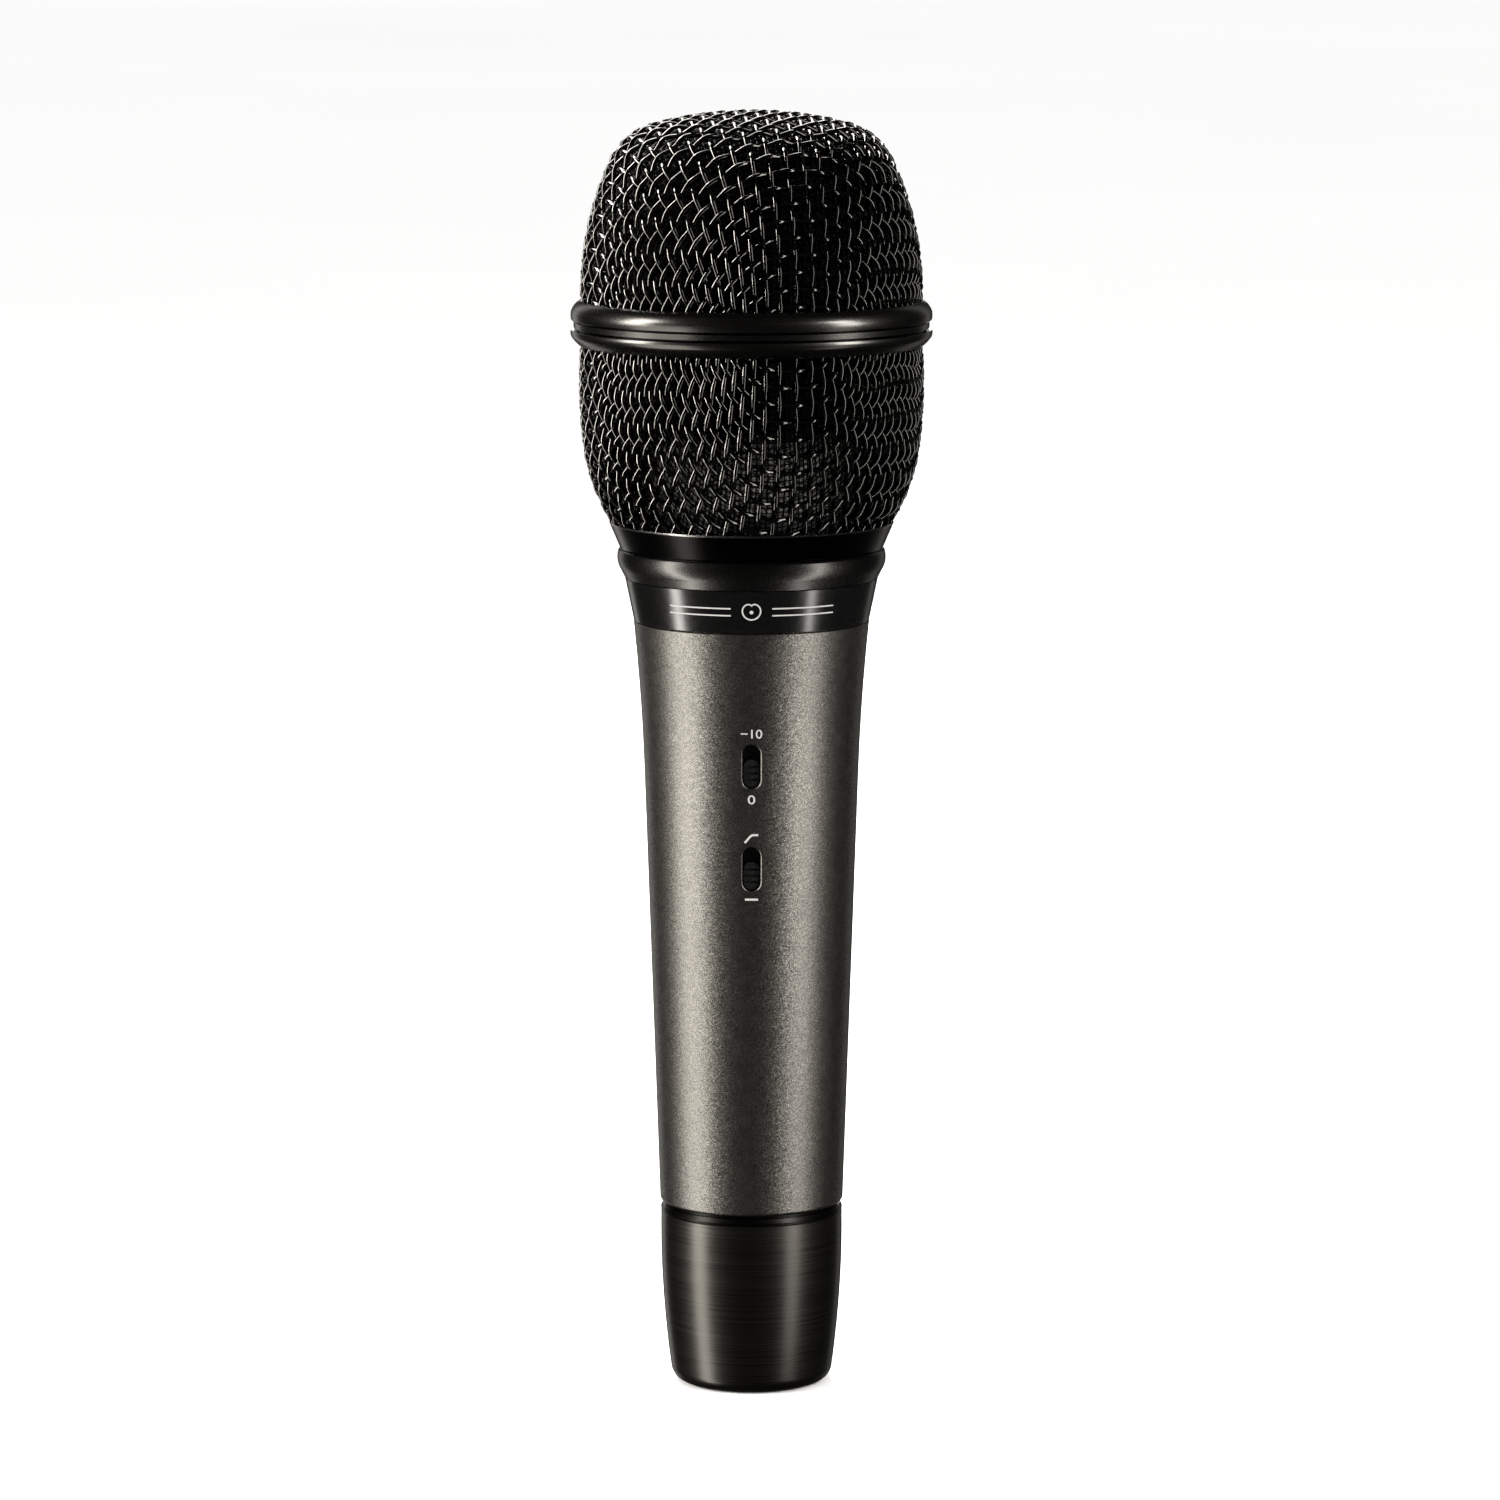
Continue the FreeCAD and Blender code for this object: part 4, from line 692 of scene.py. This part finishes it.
FINISH = {
    "tail_black": black_turned("black_anodised_turned"),
    "handle_paint": handle_paint(),
    "band_gloss": gloss_black(),
    "neck_steel": threaded(),
    "ring_rubber": ring_rubber(),
    "grille_paint": gunmetal(),
    "wire_black": wire_paint(),
    "gauze_black": simple("black_gauze_wire", (0.009, 0.0088, 0.0086), metallic=1.0,
                          roughness=0.22, vary=0.3, scale=1500, depth=2e-6, rough_vary=0.05),
    # the lower foam gets painted floor light, low down at its front and back
    "foam_grey": foam_look("grey_open_foam", dark=(0.0012, 0.0012, 0.0012),
                           light=(0.20, 0.195, 0.18), pore_start=0.45, pore_end=1.0,
                           painted_floor_light=True),
    "switch_black": simple("moulded_black_plastic", (0.0016, 0.0016, 0.0016),
                           roughness=0.42, vary=0.25, scale=1200, depth=9e-6),
    "insert_plastic": simple("black_nylon_insert", (0.022, 0.022, 0.023),
                             roughness=0.45, scale=700, depth=8e-6),
    "contact_gold": machined("worn_gold_plate", (0.90, 0.66, 0.26), roughness=0.2),
    "spring_bronze": machined("rolled_bronze_strip", (0.62, 0.40, 0.20), roughness=0.28),
    "screw_steel": machined("zinc_plated_screw", (0.60, 0.60, 0.58), roughness=0.3),
    "chassis_cast": simple("cast_zinc_frame", (0.42, 0.42, 0.43), metallic=0.9,
                           roughness=0.42, vary=0.15, scale=1500, depth=2.2e-5),
    "board_green": board(),
    "resistor_body": resistor(),
    "film_red": simple("dipped_film_capacitor", (0.30, 0.045, 0.02), roughness=0.22,
                       scale=800, depth=1.5e-5, rough_vary=0.06, coat=0.7),
    "can_sleeve": simple("shrink_sleeve_blue", (0.02, 0.035, 0.09), roughness=0.28,
                         scale=600, rough_vary=0.06, coat=0.4),
    "transistor_black": simple("epoxy_black_package", (0.02, 0.02, 0.02),
                               roughness=0.55, vary=0.3, scale=2500, depth=1.6e-5),
    "switch_case": machined("stamped_switch_shell", (0.66, 0.65, 0.62), roughness=0.33),
    "switch_frame": simple("white_nylon_frame", (0.62, 0.60, 0.55),
                           roughness=0.45, vary=0.1, depth=8e-6),
    "lead_pvc": simple("lead_insulation", (0.10, 0.012, 0.012), vary=0.15, depth=5e-6),
    "carrier_plastic": simple("glass_filled_carrier", (0.035, 0.036, 0.038),
                              roughness=0.5, vary=0.25, scale=1500, depth=1.4e-5),
    "mount_rubber": simple("soft_grey_rubber", (0.05, 0.05, 0.052),
                           roughness=0.62, vary=0.25, depth=1.6e-5),
    "capsule_metal": machined("nickel_plated_capsule", (0.70, 0.68, 0.64), roughness=0.24),
    "film_gold": machined("gold_sputtered_film", (0.92, 0.68, 0.28), roughness=0.16),
    "plate_brass": machined("lapped_brass_plate", (0.76, 0.57, 0.28), roughness=0.25),
    "insulator_white": simple("white_insulator_ring", (0.72, 0.71, 0.68), vary=0.08, depth=5e-6),
    "felt_grey": felt(),
}
OWN_FINISH = {    # pieces that don't wear their slot's finish
    "grille_collar": satin_black(),
    "tail_joint_ring": black_turned("black_turned_joint", (0.012, 0.0116, 0.011)),
}
INK = printed()
DARK_FOAM = foam_look("charcoal_open_foam", dark=(0.0008, 0.0008, 0.0008),
                      light=(0.003, 0.003, 0.003))

SLOT_OF = {part["node"]: part["material_slot"] for part in frame["record"]["subparts"]}
for name, node in NODES.items():
    dress(node, OWN_FINISH.get(name) or FINISH[SLOT_OF[name]])

# ------------------------------------------------------------- woven wire grille
WIRE_RADIUS, WIRE_PITCH = 0.325, 2.37
GAUZE_RADIUS, GAUZE_PITCH = 0.1, 0.8
NO_LIMIT = 999.0
# Stations on the cloth's diagonal: cloth lengths, and each half's arc lengths that they reach
CLOTH_LENGTHS = [0, 6.70, 13.40, 20.1, 26.8, 33.5, 40.2, 46.9, 60.3]
DOME_LENGTHS = [0, 6.71, 13.48, 20.51, 28.70, 37.77, 47.08, 56.53, 75.5]
BOWL_LENGTHS = [0, 6.85, 14.02, 21.69, 29.94, 38.78, 47.99, 57.44, 76.5]


def lay_net(half, kind, radius, sides, slot, stands_for, **weaving):
    """Both wire families of one net, laid in place of the CAD piece, which is hidden."""
    for family, runs in zip(("warp", "weft"), weave(**weaving)):
        net = mesh_object(f"{half}_{kind}_{family}", *tubes(runs, radius, sides))
        dress(net, FINISH[slot], "grille_head")
    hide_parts(stands_for)


# half, shape, foot and top of the wires, top of the gauze, degrees from the front to the
# cloth's axis, reach, shift, flip, arc lengths on the diagonal
for half, shape, low, high, gauze_high, front, reach, shift, flip, lengths in (
    ("upper", dome, 153.35, NO_LIMIT, NO_LIMIT, 17.0, 50.0, (1, -2), -1, DOME_LENGTHS),
    ("lower", bowl, 122.85, 151.05, 150.8, 14.0, 56.0, (0, 1), 1, BOWL_LENGTHS),
):
    turn = math.radians(front - 90.0)
    shared = dict(shape=shape, diagonal=(lengths, CLOTH_LENGTHS), reach=reach)
    lay_net(half, "grille", WIRE_RADIUS, 8, "wire_black", half + "_grille_mesh",
            inset=0.66, pitch=WIRE_PITCH, per=6, rise=WIRE_RADIUS, turn=turn,
            z_low=low, z_high=high, shift=shift, flip=flip, swell=1.0122, **shared)
    lay_net(half, "gauze", GAUZE_RADIUS, 4, "gauze_black", half + "_gauze",
            inset=1.53, pitch=GAUZE_PITCH, per=2, rise=0.085, turn=turn - math.radians(8),
            z_low=low + 0.25, z_high=gauze_high, swell=1.006, **shared)


# ------------------------------------------------------------------ foam linings
def foam_liner(shape, z_low, z_high, seed, around=400):
    """Foam shell: an uneven, pored outer face and a coarser, smoother inner face."""
    rng = np.random.default_rng(seed)

    def face(inset, step, pit_depth):
        table = shape(inset)
        arc = np.arange(0.0, table[0][-2], step)
        stations = np.stack(shape_at(table, arc))
        z = stations[1]
        r, z, normal_r, normal_z = stations[:, (z >= z_low) & (z <= z_high)]
        bite = rng.random((len(r), around)) ** 2
        soft = (bite + np.roll(bite, 1, 1) + np.roll(bite, -1, 1)
                + np.roll(bite, 1, 0) + np.roll(bite, -1, 0)) / 5
        lift = -pit_depth * soft
        lift[r < 2.0] *= 0.3      # calmer near the pole
        angle = np.arange(around) * 2 * PI / around
        # a tiny rim is left open at the pole
        radius = np.maximum(r[:, None] + normal_r[:, None] * lift, 0.02)
        return np.stack([radius * np.cos(angle), radius * np.sin(angle),
                         z[:, None] + normal_z[:, None] * lift], -1)

    outer = face(inset=1.80, step=0.36, pit_depth=0.55)
    inner = face(inset=4.15, step=2.0, pit_depth=0.25)
    rows = np.concatenate([outer[::-1], inner])
    return rows.reshape(-1, 3), ring_quads(len(rows), around)


for half, shape, z_low, z_high, seed, foam in (
    ("upper", dome, 155.0, NO_LIMIT, 11, DARK_FOAM),
    ("lower", bowl, 126.1, 149.5, 12, FINISH["foam_grey"]),
):
    verts, quads = foam_liner(shape, z_low, z_high, seed)
    if half == "lower":      # the bowl runs upward, so its faces are turned over
        quads = quads[:, ::-1]
    dress(mesh_object(half + "_foam_liner", verts, quads), foam, "grille_head",
          [half + "_foam"])


# --------------------------------------------------------------- the grille's band
def bulge(start, end, radius, steps=9):
    """Points after start up to end on an arc that bows away from the axis."""
    start, end = np.array(start, float), np.array(end, float)
    centre = arc_centre(start, end, radius)
    spoke, last = start - centre, end - centre
    angle = math.atan2(spoke[1], spoke[0])
    sweep = (math.atan2(last[1], last[0]) - angle + PI) % (2 * PI) - PI
    angles = [angle + sweep * i / steps for i in range(1, steps + 1)]
    return [centre + radius * np.array([math.cos(a), math.sin(a)]) for a in angles]


def rolled_band():
    """Ring between the two halves, with two grooves round its outside."""
    outline = [      # (r, z), from the inner foot outward and up
        (21.5, 150.0), (22.0, 150.0), (22.0, 151.4), (23.98, 151.4), (24.12, 149.05),
        (24.28, 149.05),
        *bulge((24.28, 149.05), (25.4, 150.3), radius=5.0),
        *bulge((25.4, 150.3), (25.44, 151.22), radius=1.3),
        (25.41, 151.25), (24.6, 151.27), (24.6, 151.51), (25.04, 151.53), (25.07, 151.57),
        (25.07, 152.34), (25.04, 152.38), (24.6, 152.40), (24.6, 152.65), (25.41, 152.67),
        (25.44, 152.71),
        *bulge((25.44, 152.71), (25.45, 153.76), radius=3.5),
        *bulge((25.45, 153.76), (24.24, 155.33), radius=2.9, steps=12),
        (24.12, 155.38), (24.0, 155.33), (23.95, 153.05), (22.05, 153.05), (22.05, 154.6),
        (21.5, 154.6)]
    band = mesh_object("grille_rolled_band", *lathe(outline, around=384), sharp=24)
    return dress(band, FINISH["grille_paint"], "grille_head", ["grille_band"])


ROLLED_BAND = rolled_band()


# ------------------------------------------------- rubber mount under the capsule
def shock_mount():
    """Rubber bellows with 24 faint flutes round its folds."""
    outline = rounded([      # (r, z[, corner radius])
        (8.4, 126.0), (12.6, 126.0), (12.6, 127.2, 0.3), (11.9, 127.35, 0.3),
        (11.4, 127.9, 0.25), (11.5, 128.2, 0.2), (10.7, 128.5, 0.25), (11.4, 128.9, 0.2),
        (11.2, 129.35, 0.25), (11.8, 129.8, 0.3), (11.8, 131.0), (8.4, 131.0),
        (8.75, 129.9, 0.5), (9.3, 128.5, 0.6), (8.75, 127.1, 0.5)])

    def flute(r, z, angle):
        return r + 0.05 * np.cos(angle * 24) * ((z > 127.5) & (z < 129.7))

    mount = mesh_object("shock_mount_bellows", *lathe(outline, 160, flute), sharp=60)
    dress(mount, FINISH["mount_rubber"], None, ["shock_mount"])
    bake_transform(mount)


shock_mount()

# ---------------------------------------------------------------- printed legends
# (r, z) of the handle's outside; it is straight up to the bend, then hollows on an arc
HANDLE_FOOT, HANDLE_BEND, HANDLE_TOP = (13.1, 26.8), (15.2, 88.0), (16.7, 109.85)
HOLLOW_RADIUS = 301.0
HOLLOW_CENTRE = arc_centre(np.array(HANDLE_TOP), np.array(HANDLE_BEND), HOLLOW_RADIUS)
BAND_FOOT, BAND_TOP = (16.71, 110.15), (17.9, 116.05)
INK_LIFT = 0.03      # ink stands this far out of the surface, and reaches as far into it
NUMERAL_SIZE = 1.78
SYMBOL_LINE, BAND_LINE = 0.3, 0.2


def cone_radius(z, foot, top):
    return foot[0] + (z - foot[1]) * (top[0] - foot[0]) / (top[1] - foot[1])


def handle_radius(z):
    if z <= HANDLE_BEND[1]:
        return cone_radius(z, HANDLE_FOOT, HANDLE_BEND)
    return HOLLOW_CENTRE[0] - math.sqrt(HOLLOW_RADIUS ** 2 - (z - HOLLOW_CENTRE[1]) ** 2)


def band_radius(z):
    return cone_radius(z, BAND_FOOT, BAND_TOP)


ON_HANDLE = (handle_radius, "handle_paint")
ON_BAND = (band_radius, "band_gloss")


def wrapped(name, flat_verts, faces, surface):
    """Flat ink shape in (x, z) laid on the front of a round surface, with some thickness."""
    radius_at, slot = surface
    flat = np.asarray(flat_verts, float)
    surface_radius = np.array([radius_at(z) for z in flat[:, 1]])
    angle = flat[:, 0] / surface_radius
    sheets = []
    for lift in (INK_LIFT, -INK_LIFT):
        r = surface_radius + lift
        sheets.append(np.stack([r * np.sin(angle), -r * np.cos(angle), flat[:, 1]], 1))
    count = len(flat)
    edges = dict.fromkeys((a, b) for face in faces
                          for a, b in zip(face, list(face[1:]) + [face[0]]))
    rim = [(a, b) for a, b in edges if (b, a) not in edges]
    skin = [tuple(face) for face in faces]
    skin += [tuple(i + count for i in reversed(face)) for face in faces]
    skin += [(b, a, a + count, b + count) for a, b in rim]
    mesh = bpy.data.meshes.new(name)
    mesh.from_pydata((np.concatenate(sheets) * MM).tolist(), [], skin)
    mesh.validate()
    mesh.update()
    dress(linked(name, mesh), INK, "handle")


def legend(name, text, z_mid, wide):
    """Numerals in Blender's own font, centred on the handle's front."""
    curve = bpy.data.curves.new(name + "_curve", "FONT")
    curve.body = text
    curve.size = NUMERAL_SIZE
    curve.align_x = "CENTER"
    curve.align_y = "CENTER"
    curve.resolution_u = 6
    curve.offset = 0.012
    text_object = linked(name + "_curve", curve)
    depsgraph = bpy.context.evaluated_depsgraph_get()
    mesh = bpy.data.meshes.new_from_object(text_object.evaluated_get(depsgraph))
    bpy.data.objects.remove(text_object)
    flat = np.array([vertex.co[:2] for vertex in mesh.vertices])
    flat = flat - (flat.min(0) + flat.max(0)) / 2
    flat = flat * [wide / (flat[:, 0].max() - flat[:, 0].min()), 1.0]
    flat[:, 1] += z_mid
    # join points that the font outline repeats, so that the ink is one closed skin
    places = {}
    joined = [places.setdefault(tuple(point), len(places)) for point in np.round(flat, 5)]
    faces = [tuple(dict.fromkeys(joined[i] for i in face.vertices)) for face in mesh.polygons]
    wrapped(name, np.array(list(places)), [face for face in faces if len(face) > 2], ON_HANDLE)


def stroke(points, width, closed=False):
    """Flat ribbon of quads along a line of (x, z) points."""
    points = np.asarray(points, float)
    count = len(points)
    if closed:
        tangent = np.roll(points, -1, 0) - np.roll(points, 1, 0)
    else:
        tangent = np.gradient(points, axis=0)
    tangent /= np.hypot(*tangent.T)[:, None]
    side = np.stack([-tangent[:, 1], tangent[:, 0]], 1) * width / 2
    faces = [(i, count + i, count + (i + 1) % count, (i + 1) % count)
             for i in range(count if closed else count - 1)]
    return np.concatenate([points + side, points - side]), faces


def line(start, end, width, count=14):
    share = np.linspace(0, 1, count)[:, None]
    return stroke(np.array(start) * (1 - share) + np.array(end) * share, width)


def handle_legends():
    legend("pad_on_numerals", "−10", z_mid=95.8, wide=3.0)
    legend("pad_off_numerals", "0", z_mid=86.45, wide=1.05)
    knee = [(-0.95, 80.3), (-0.6, 80.72), (-0.25, 81.14), (0.1, 81.4), (0.5, 81.42),
            (0.95, 81.42)]
    wrapped("low_cut_symbol", *stroke(knee, SYMBOL_LINE), ON_HANDLE)
    wrapped("flat_response_symbol", *line((-0.92, 72.2), (0.92, 72.2), SYMBOL_LINE), ON_HANDLE)


def band_legends():
    """A heart-shaped pickup pattern with a dot, between two pairs of pinstripes."""
    heart_size, cusp_z = 0.98, 114.05
    angle = np.linspace(0, 2 * PI, 72, endpoint=False)
    r = heart_size * (1 - np.sin(angle))
    heart = np.stack([r * np.cos(angle), cusp_z + r * np.sin(angle)], 1)
    wrapped("pattern_heart", *stroke(heart, BAND_LINE, closed=True), ON_BAND)
    dot_radius, dot_z, sides = 0.26, 113.15, 20
    dot = [(0.0, dot_z)]
    dot += [(dot_radius * math.cos(a), dot_z + dot_radius * math.sin(a))
            for a in np.linspace(0, 2 * PI, sides, endpoint=False)]
    wrapped("pattern_dot", dot, [(0, i, i % sides + 1) for i in range(1, sides + 1)], ON_BAND)
    near, far = 2.9, 12.4
    for tag, low, high in (("left", -far, -near), ("right", near, far)):
        for z, kind in ((113.65, "upper"), (112.65, "lower")):
            wrapped(f"pinstripe_{tag}_{kind}",
                    *line((low, z), (high, z), BAND_LINE, count=40), ON_BAND)


handle_legends()
band_legends()


# ------------------------------------------------------------------------- stage
def studio_floor():
    half, z = 15000.0, -0.04
    corners = [(-half, -half, z), (half, -half, z), (half, half, z), (-half, half, z)]
    floor = mesh_object("studio_floor", corners, [(0, 1, 2, 3)], smooth=False)
    look = Look("pale_studio_floor")
    soft = look.noise(1.1, detail=4, rough=0.6)
    dress(floor, look.finish(
        Base_Color=look.mix(look.span(soft), low=(0.93, 0.93, 0.925), high=(0.955, 0.955, 0.95)),
        Roughness=0.8, Specular_IOR_Level=0.1,
        Normal=look.bump(look.noise(240, detail=4, rough=0.6), depth=2e-5)))
    floor.visible_glossy = False      # the object mirrors the dark studio, not the bright floor
    floor.visible_shadow = False      # the strips reach below the floor's level


def studio_world():
    """White to the camera and to diffuse light, nearly black in reflections."""
    world = bpy.data.worlds.new("studio")
    bpy.context.scene.world = world
    world.use_nodes = True
    nodes, link = world.node_tree.nodes, world.node_tree.links.new
    nodes.clear()
    path = nodes.new("ShaderNodeLightPath")

    def background(colour, strength):
        node = nodes.new("ShaderNodeBackground")
        node.inputs[0].default_value = (*colour, 1)
        node.inputs[1].default_value = strength
        return node.outputs[0]

    def choose(ray, otherwise, chosen):
        node = nodes.new("ShaderNodeMixShader")
        link(path.outputs[ray], node.inputs[0])
        link(otherwise, node.inputs[1])
        link(chosen, node.inputs[2])
        return node.outputs[0]

    ambient = background((1, 1, 1), strength=1.08)
    mirrored = background((1, 0.98, 0.95), strength=0.03)
    seen = background((1, 1, 1), strength=1.03)
    shade = choose("Is Camera Ray", choose("Is Glossy Ray", ambient, mirrored), seen)
    link(shade, nodes.new("ShaderNodeOutputWorld").inputs[0])


WARM, WARMER, TOP_WARM = (1.0, 0.97, 0.93), (1.0, 0.97, 0.92), (1.0, 0.98, 0.95)


def softbox(name, azimuth, distance, height, wide, tall, radiance, tint=WARMER, aim=None):
    """Panel light, upright unless aimed at another height on the axis.
    Azimuth is in degrees from the front, positive to the right."""
    data = bpy.data.lights.new(name, "AREA")
    data.shape = "RECTANGLE"
    data.size, data.size_y = wide, tall
    data.energy = radiance * PI * wide * tall
    data.color = tint
    light = linked(name, data)
    angle = math.radians(azimuth)
    light.location = (math.sin(angle) * distance, -math.cos(angle) * distance, height)
    way = Vector((0, 0, height if aim is None else aim)) - light.location
    light.rotation_euler = way.to_track_quat("-Z", "Y").to_euler()
    light.visible_camera = False
    return light


def lit_by(light, pieces, state):
    """The light reaches only these pieces (INCLUDE), or everything else (EXCLUDE)."""
    group = bpy.data.collections.new(light.name + "_set")
    for piece in pieces:
        group.objects.link(piece)
    light.light_linking.receiver_collection = group
    for entry in group.collection_objects:
        entry.light_linking.link_state = state


def studio_lights():
    wires = [o for o in bpy.data.objects if "_grille_w" in o.name or "_gauze_w" in o.name]
    ring = [ROLLED_BAND]
    band, handle, neck, collar = (
        [NODES[n]] for n in ("name_band", "handle_body", "neck_ring", "grille_collar"))
    own_lights = wires + ring + band + handle + neck
    # linked pieces, how they are linked, and the panels:
    # name, azimuth, distance, height, panel width, panel height, radiance[, tint[, aim]]
    for pieces, state, panels in (
        (own_lights, "EXCLUDE", (
            ("strip_left", -70, 0.75, 0.35, 0.24, 0.80, 20.0),
            ("strip_left_low", -70, 0.75, -0.40, 0.24, 0.70, 8.0))),
        (own_lights + collar, "EXCLUDE", (
            ("strip_right", 54, 0.75, 0.365, 0.22, 0.77, 18.0, WARM),
            ("strip_right_low", 54, 0.75, -0.19, 0.22, 0.34, 3.5, WARM))),
        (handle, "INCLUDE", (
            ("hand_left", -72, 0.75, 0.35, 0.52, 0.80, 9.0),
            ("hand_left_low", -72, 0.75, -0.40, 0.52, 0.70, 5.6),
            ("hand_right", 57, 0.75, 0.365, 0.42, 0.77, 10.0, WARM),
            ("hand_right_low", 57, 0.75, -0.19, 0.42, 0.34, 3.2, WARM))),
        (ring, "INCLUDE", (
            ("ring_left", -79, 0.75, 0.45, 0.24, 0.60, 31.0),
            ("ring_left_low", -60, 0.75, -0.30, 0.56, 0.90, 4.0),
            ("ring_right", 64, 0.75, 0.45, 0.22, 0.60, 23.0, WARM),
            ("ring_right_low", 60, 0.75, -0.25, 0.22, 0.80, 1.8, WARM))),
        (band, "INCLUDE", (
            ("band_left", -77, 0.75, -0.25, 0.13, 1.9, 23.0),
            ("band_right", 60, 0.75, -0.25, 0.10, 1.9, 14.0, WARM))),
        (neck, "INCLUDE", (
            ("neck_left", -74, 0.75, -0.35, 0.16, 1.6, 27.0),
            ("neck_right", 60, 0.75, -0.35, 0.13, 1.6, 18.0, WARM))),
        (wires, "INCLUDE", (
            ("glint_left", -84, 0.75, 0.42, 0.22, 0.76, 38.0),
            ("glint_left_low", -84, 0.75, -0.30, 0.22, 0.62, 14.0),
            ("glint_right", 58, 0.75, 0.05, 0.18, 1.5, 7.0, WARM),
            ("glint_top", -118, 0.62, 0.86, 0.34, 0.34, 42.0, WARM, 0.17))),
        (None, None, (
            ("rim_left", -152, 0.9, 0.1, 0.20, 1.2, 0.8),
            ("rim_right", 150, 0.9, 0.1, 0.20, 1.2, 0.25),
            ("back", 180, 0.9, 0.30, 0.24, 0.95, 3.0, WARM))),
        (ring, "EXCLUDE", (
            ("top_back", -160, 0.55, 0.85, 0.55, 0.55, 12.0, TOP_WARM, 0.17),)),
    ):
        for panel in panels:
            light = softbox(*panel)
            if pieces:
                lit_by(light, pieces, state)


def studio_camera():
    """Long lens in front, looking slightly down at the middle of the microphone."""
    pitch, distance, aim_z = math.radians(8.4), 0.92417, 0.09127
    data = bpy.data.cameras.new("camera")
    data.sensor_fit = "HORIZONTAL"
    data.sensor_width = 36.0
    data.lens = 156.0
    data.shift_x = -0.001
    data.clip_start, data.clip_end = 0.05, 60.0
    camera = linked("camera", data)
    camera.location = (0.0, -distance * math.cos(pitch), aim_z + distance * math.sin(pitch))
    camera.rotation_euler = (PI / 2 - pitch, 0.0, 0.0)
    scene = bpy.context.scene
    scene.camera = camera
    scene.view_settings.view_transform = "Standard"
    scene.view_settings.look = "None"
    scene.view_settings.exposure = 0.0
    scene.view_settings.gamma = 1.0


studio_floor()
studio_world()
studio_lights()
studio_camera()
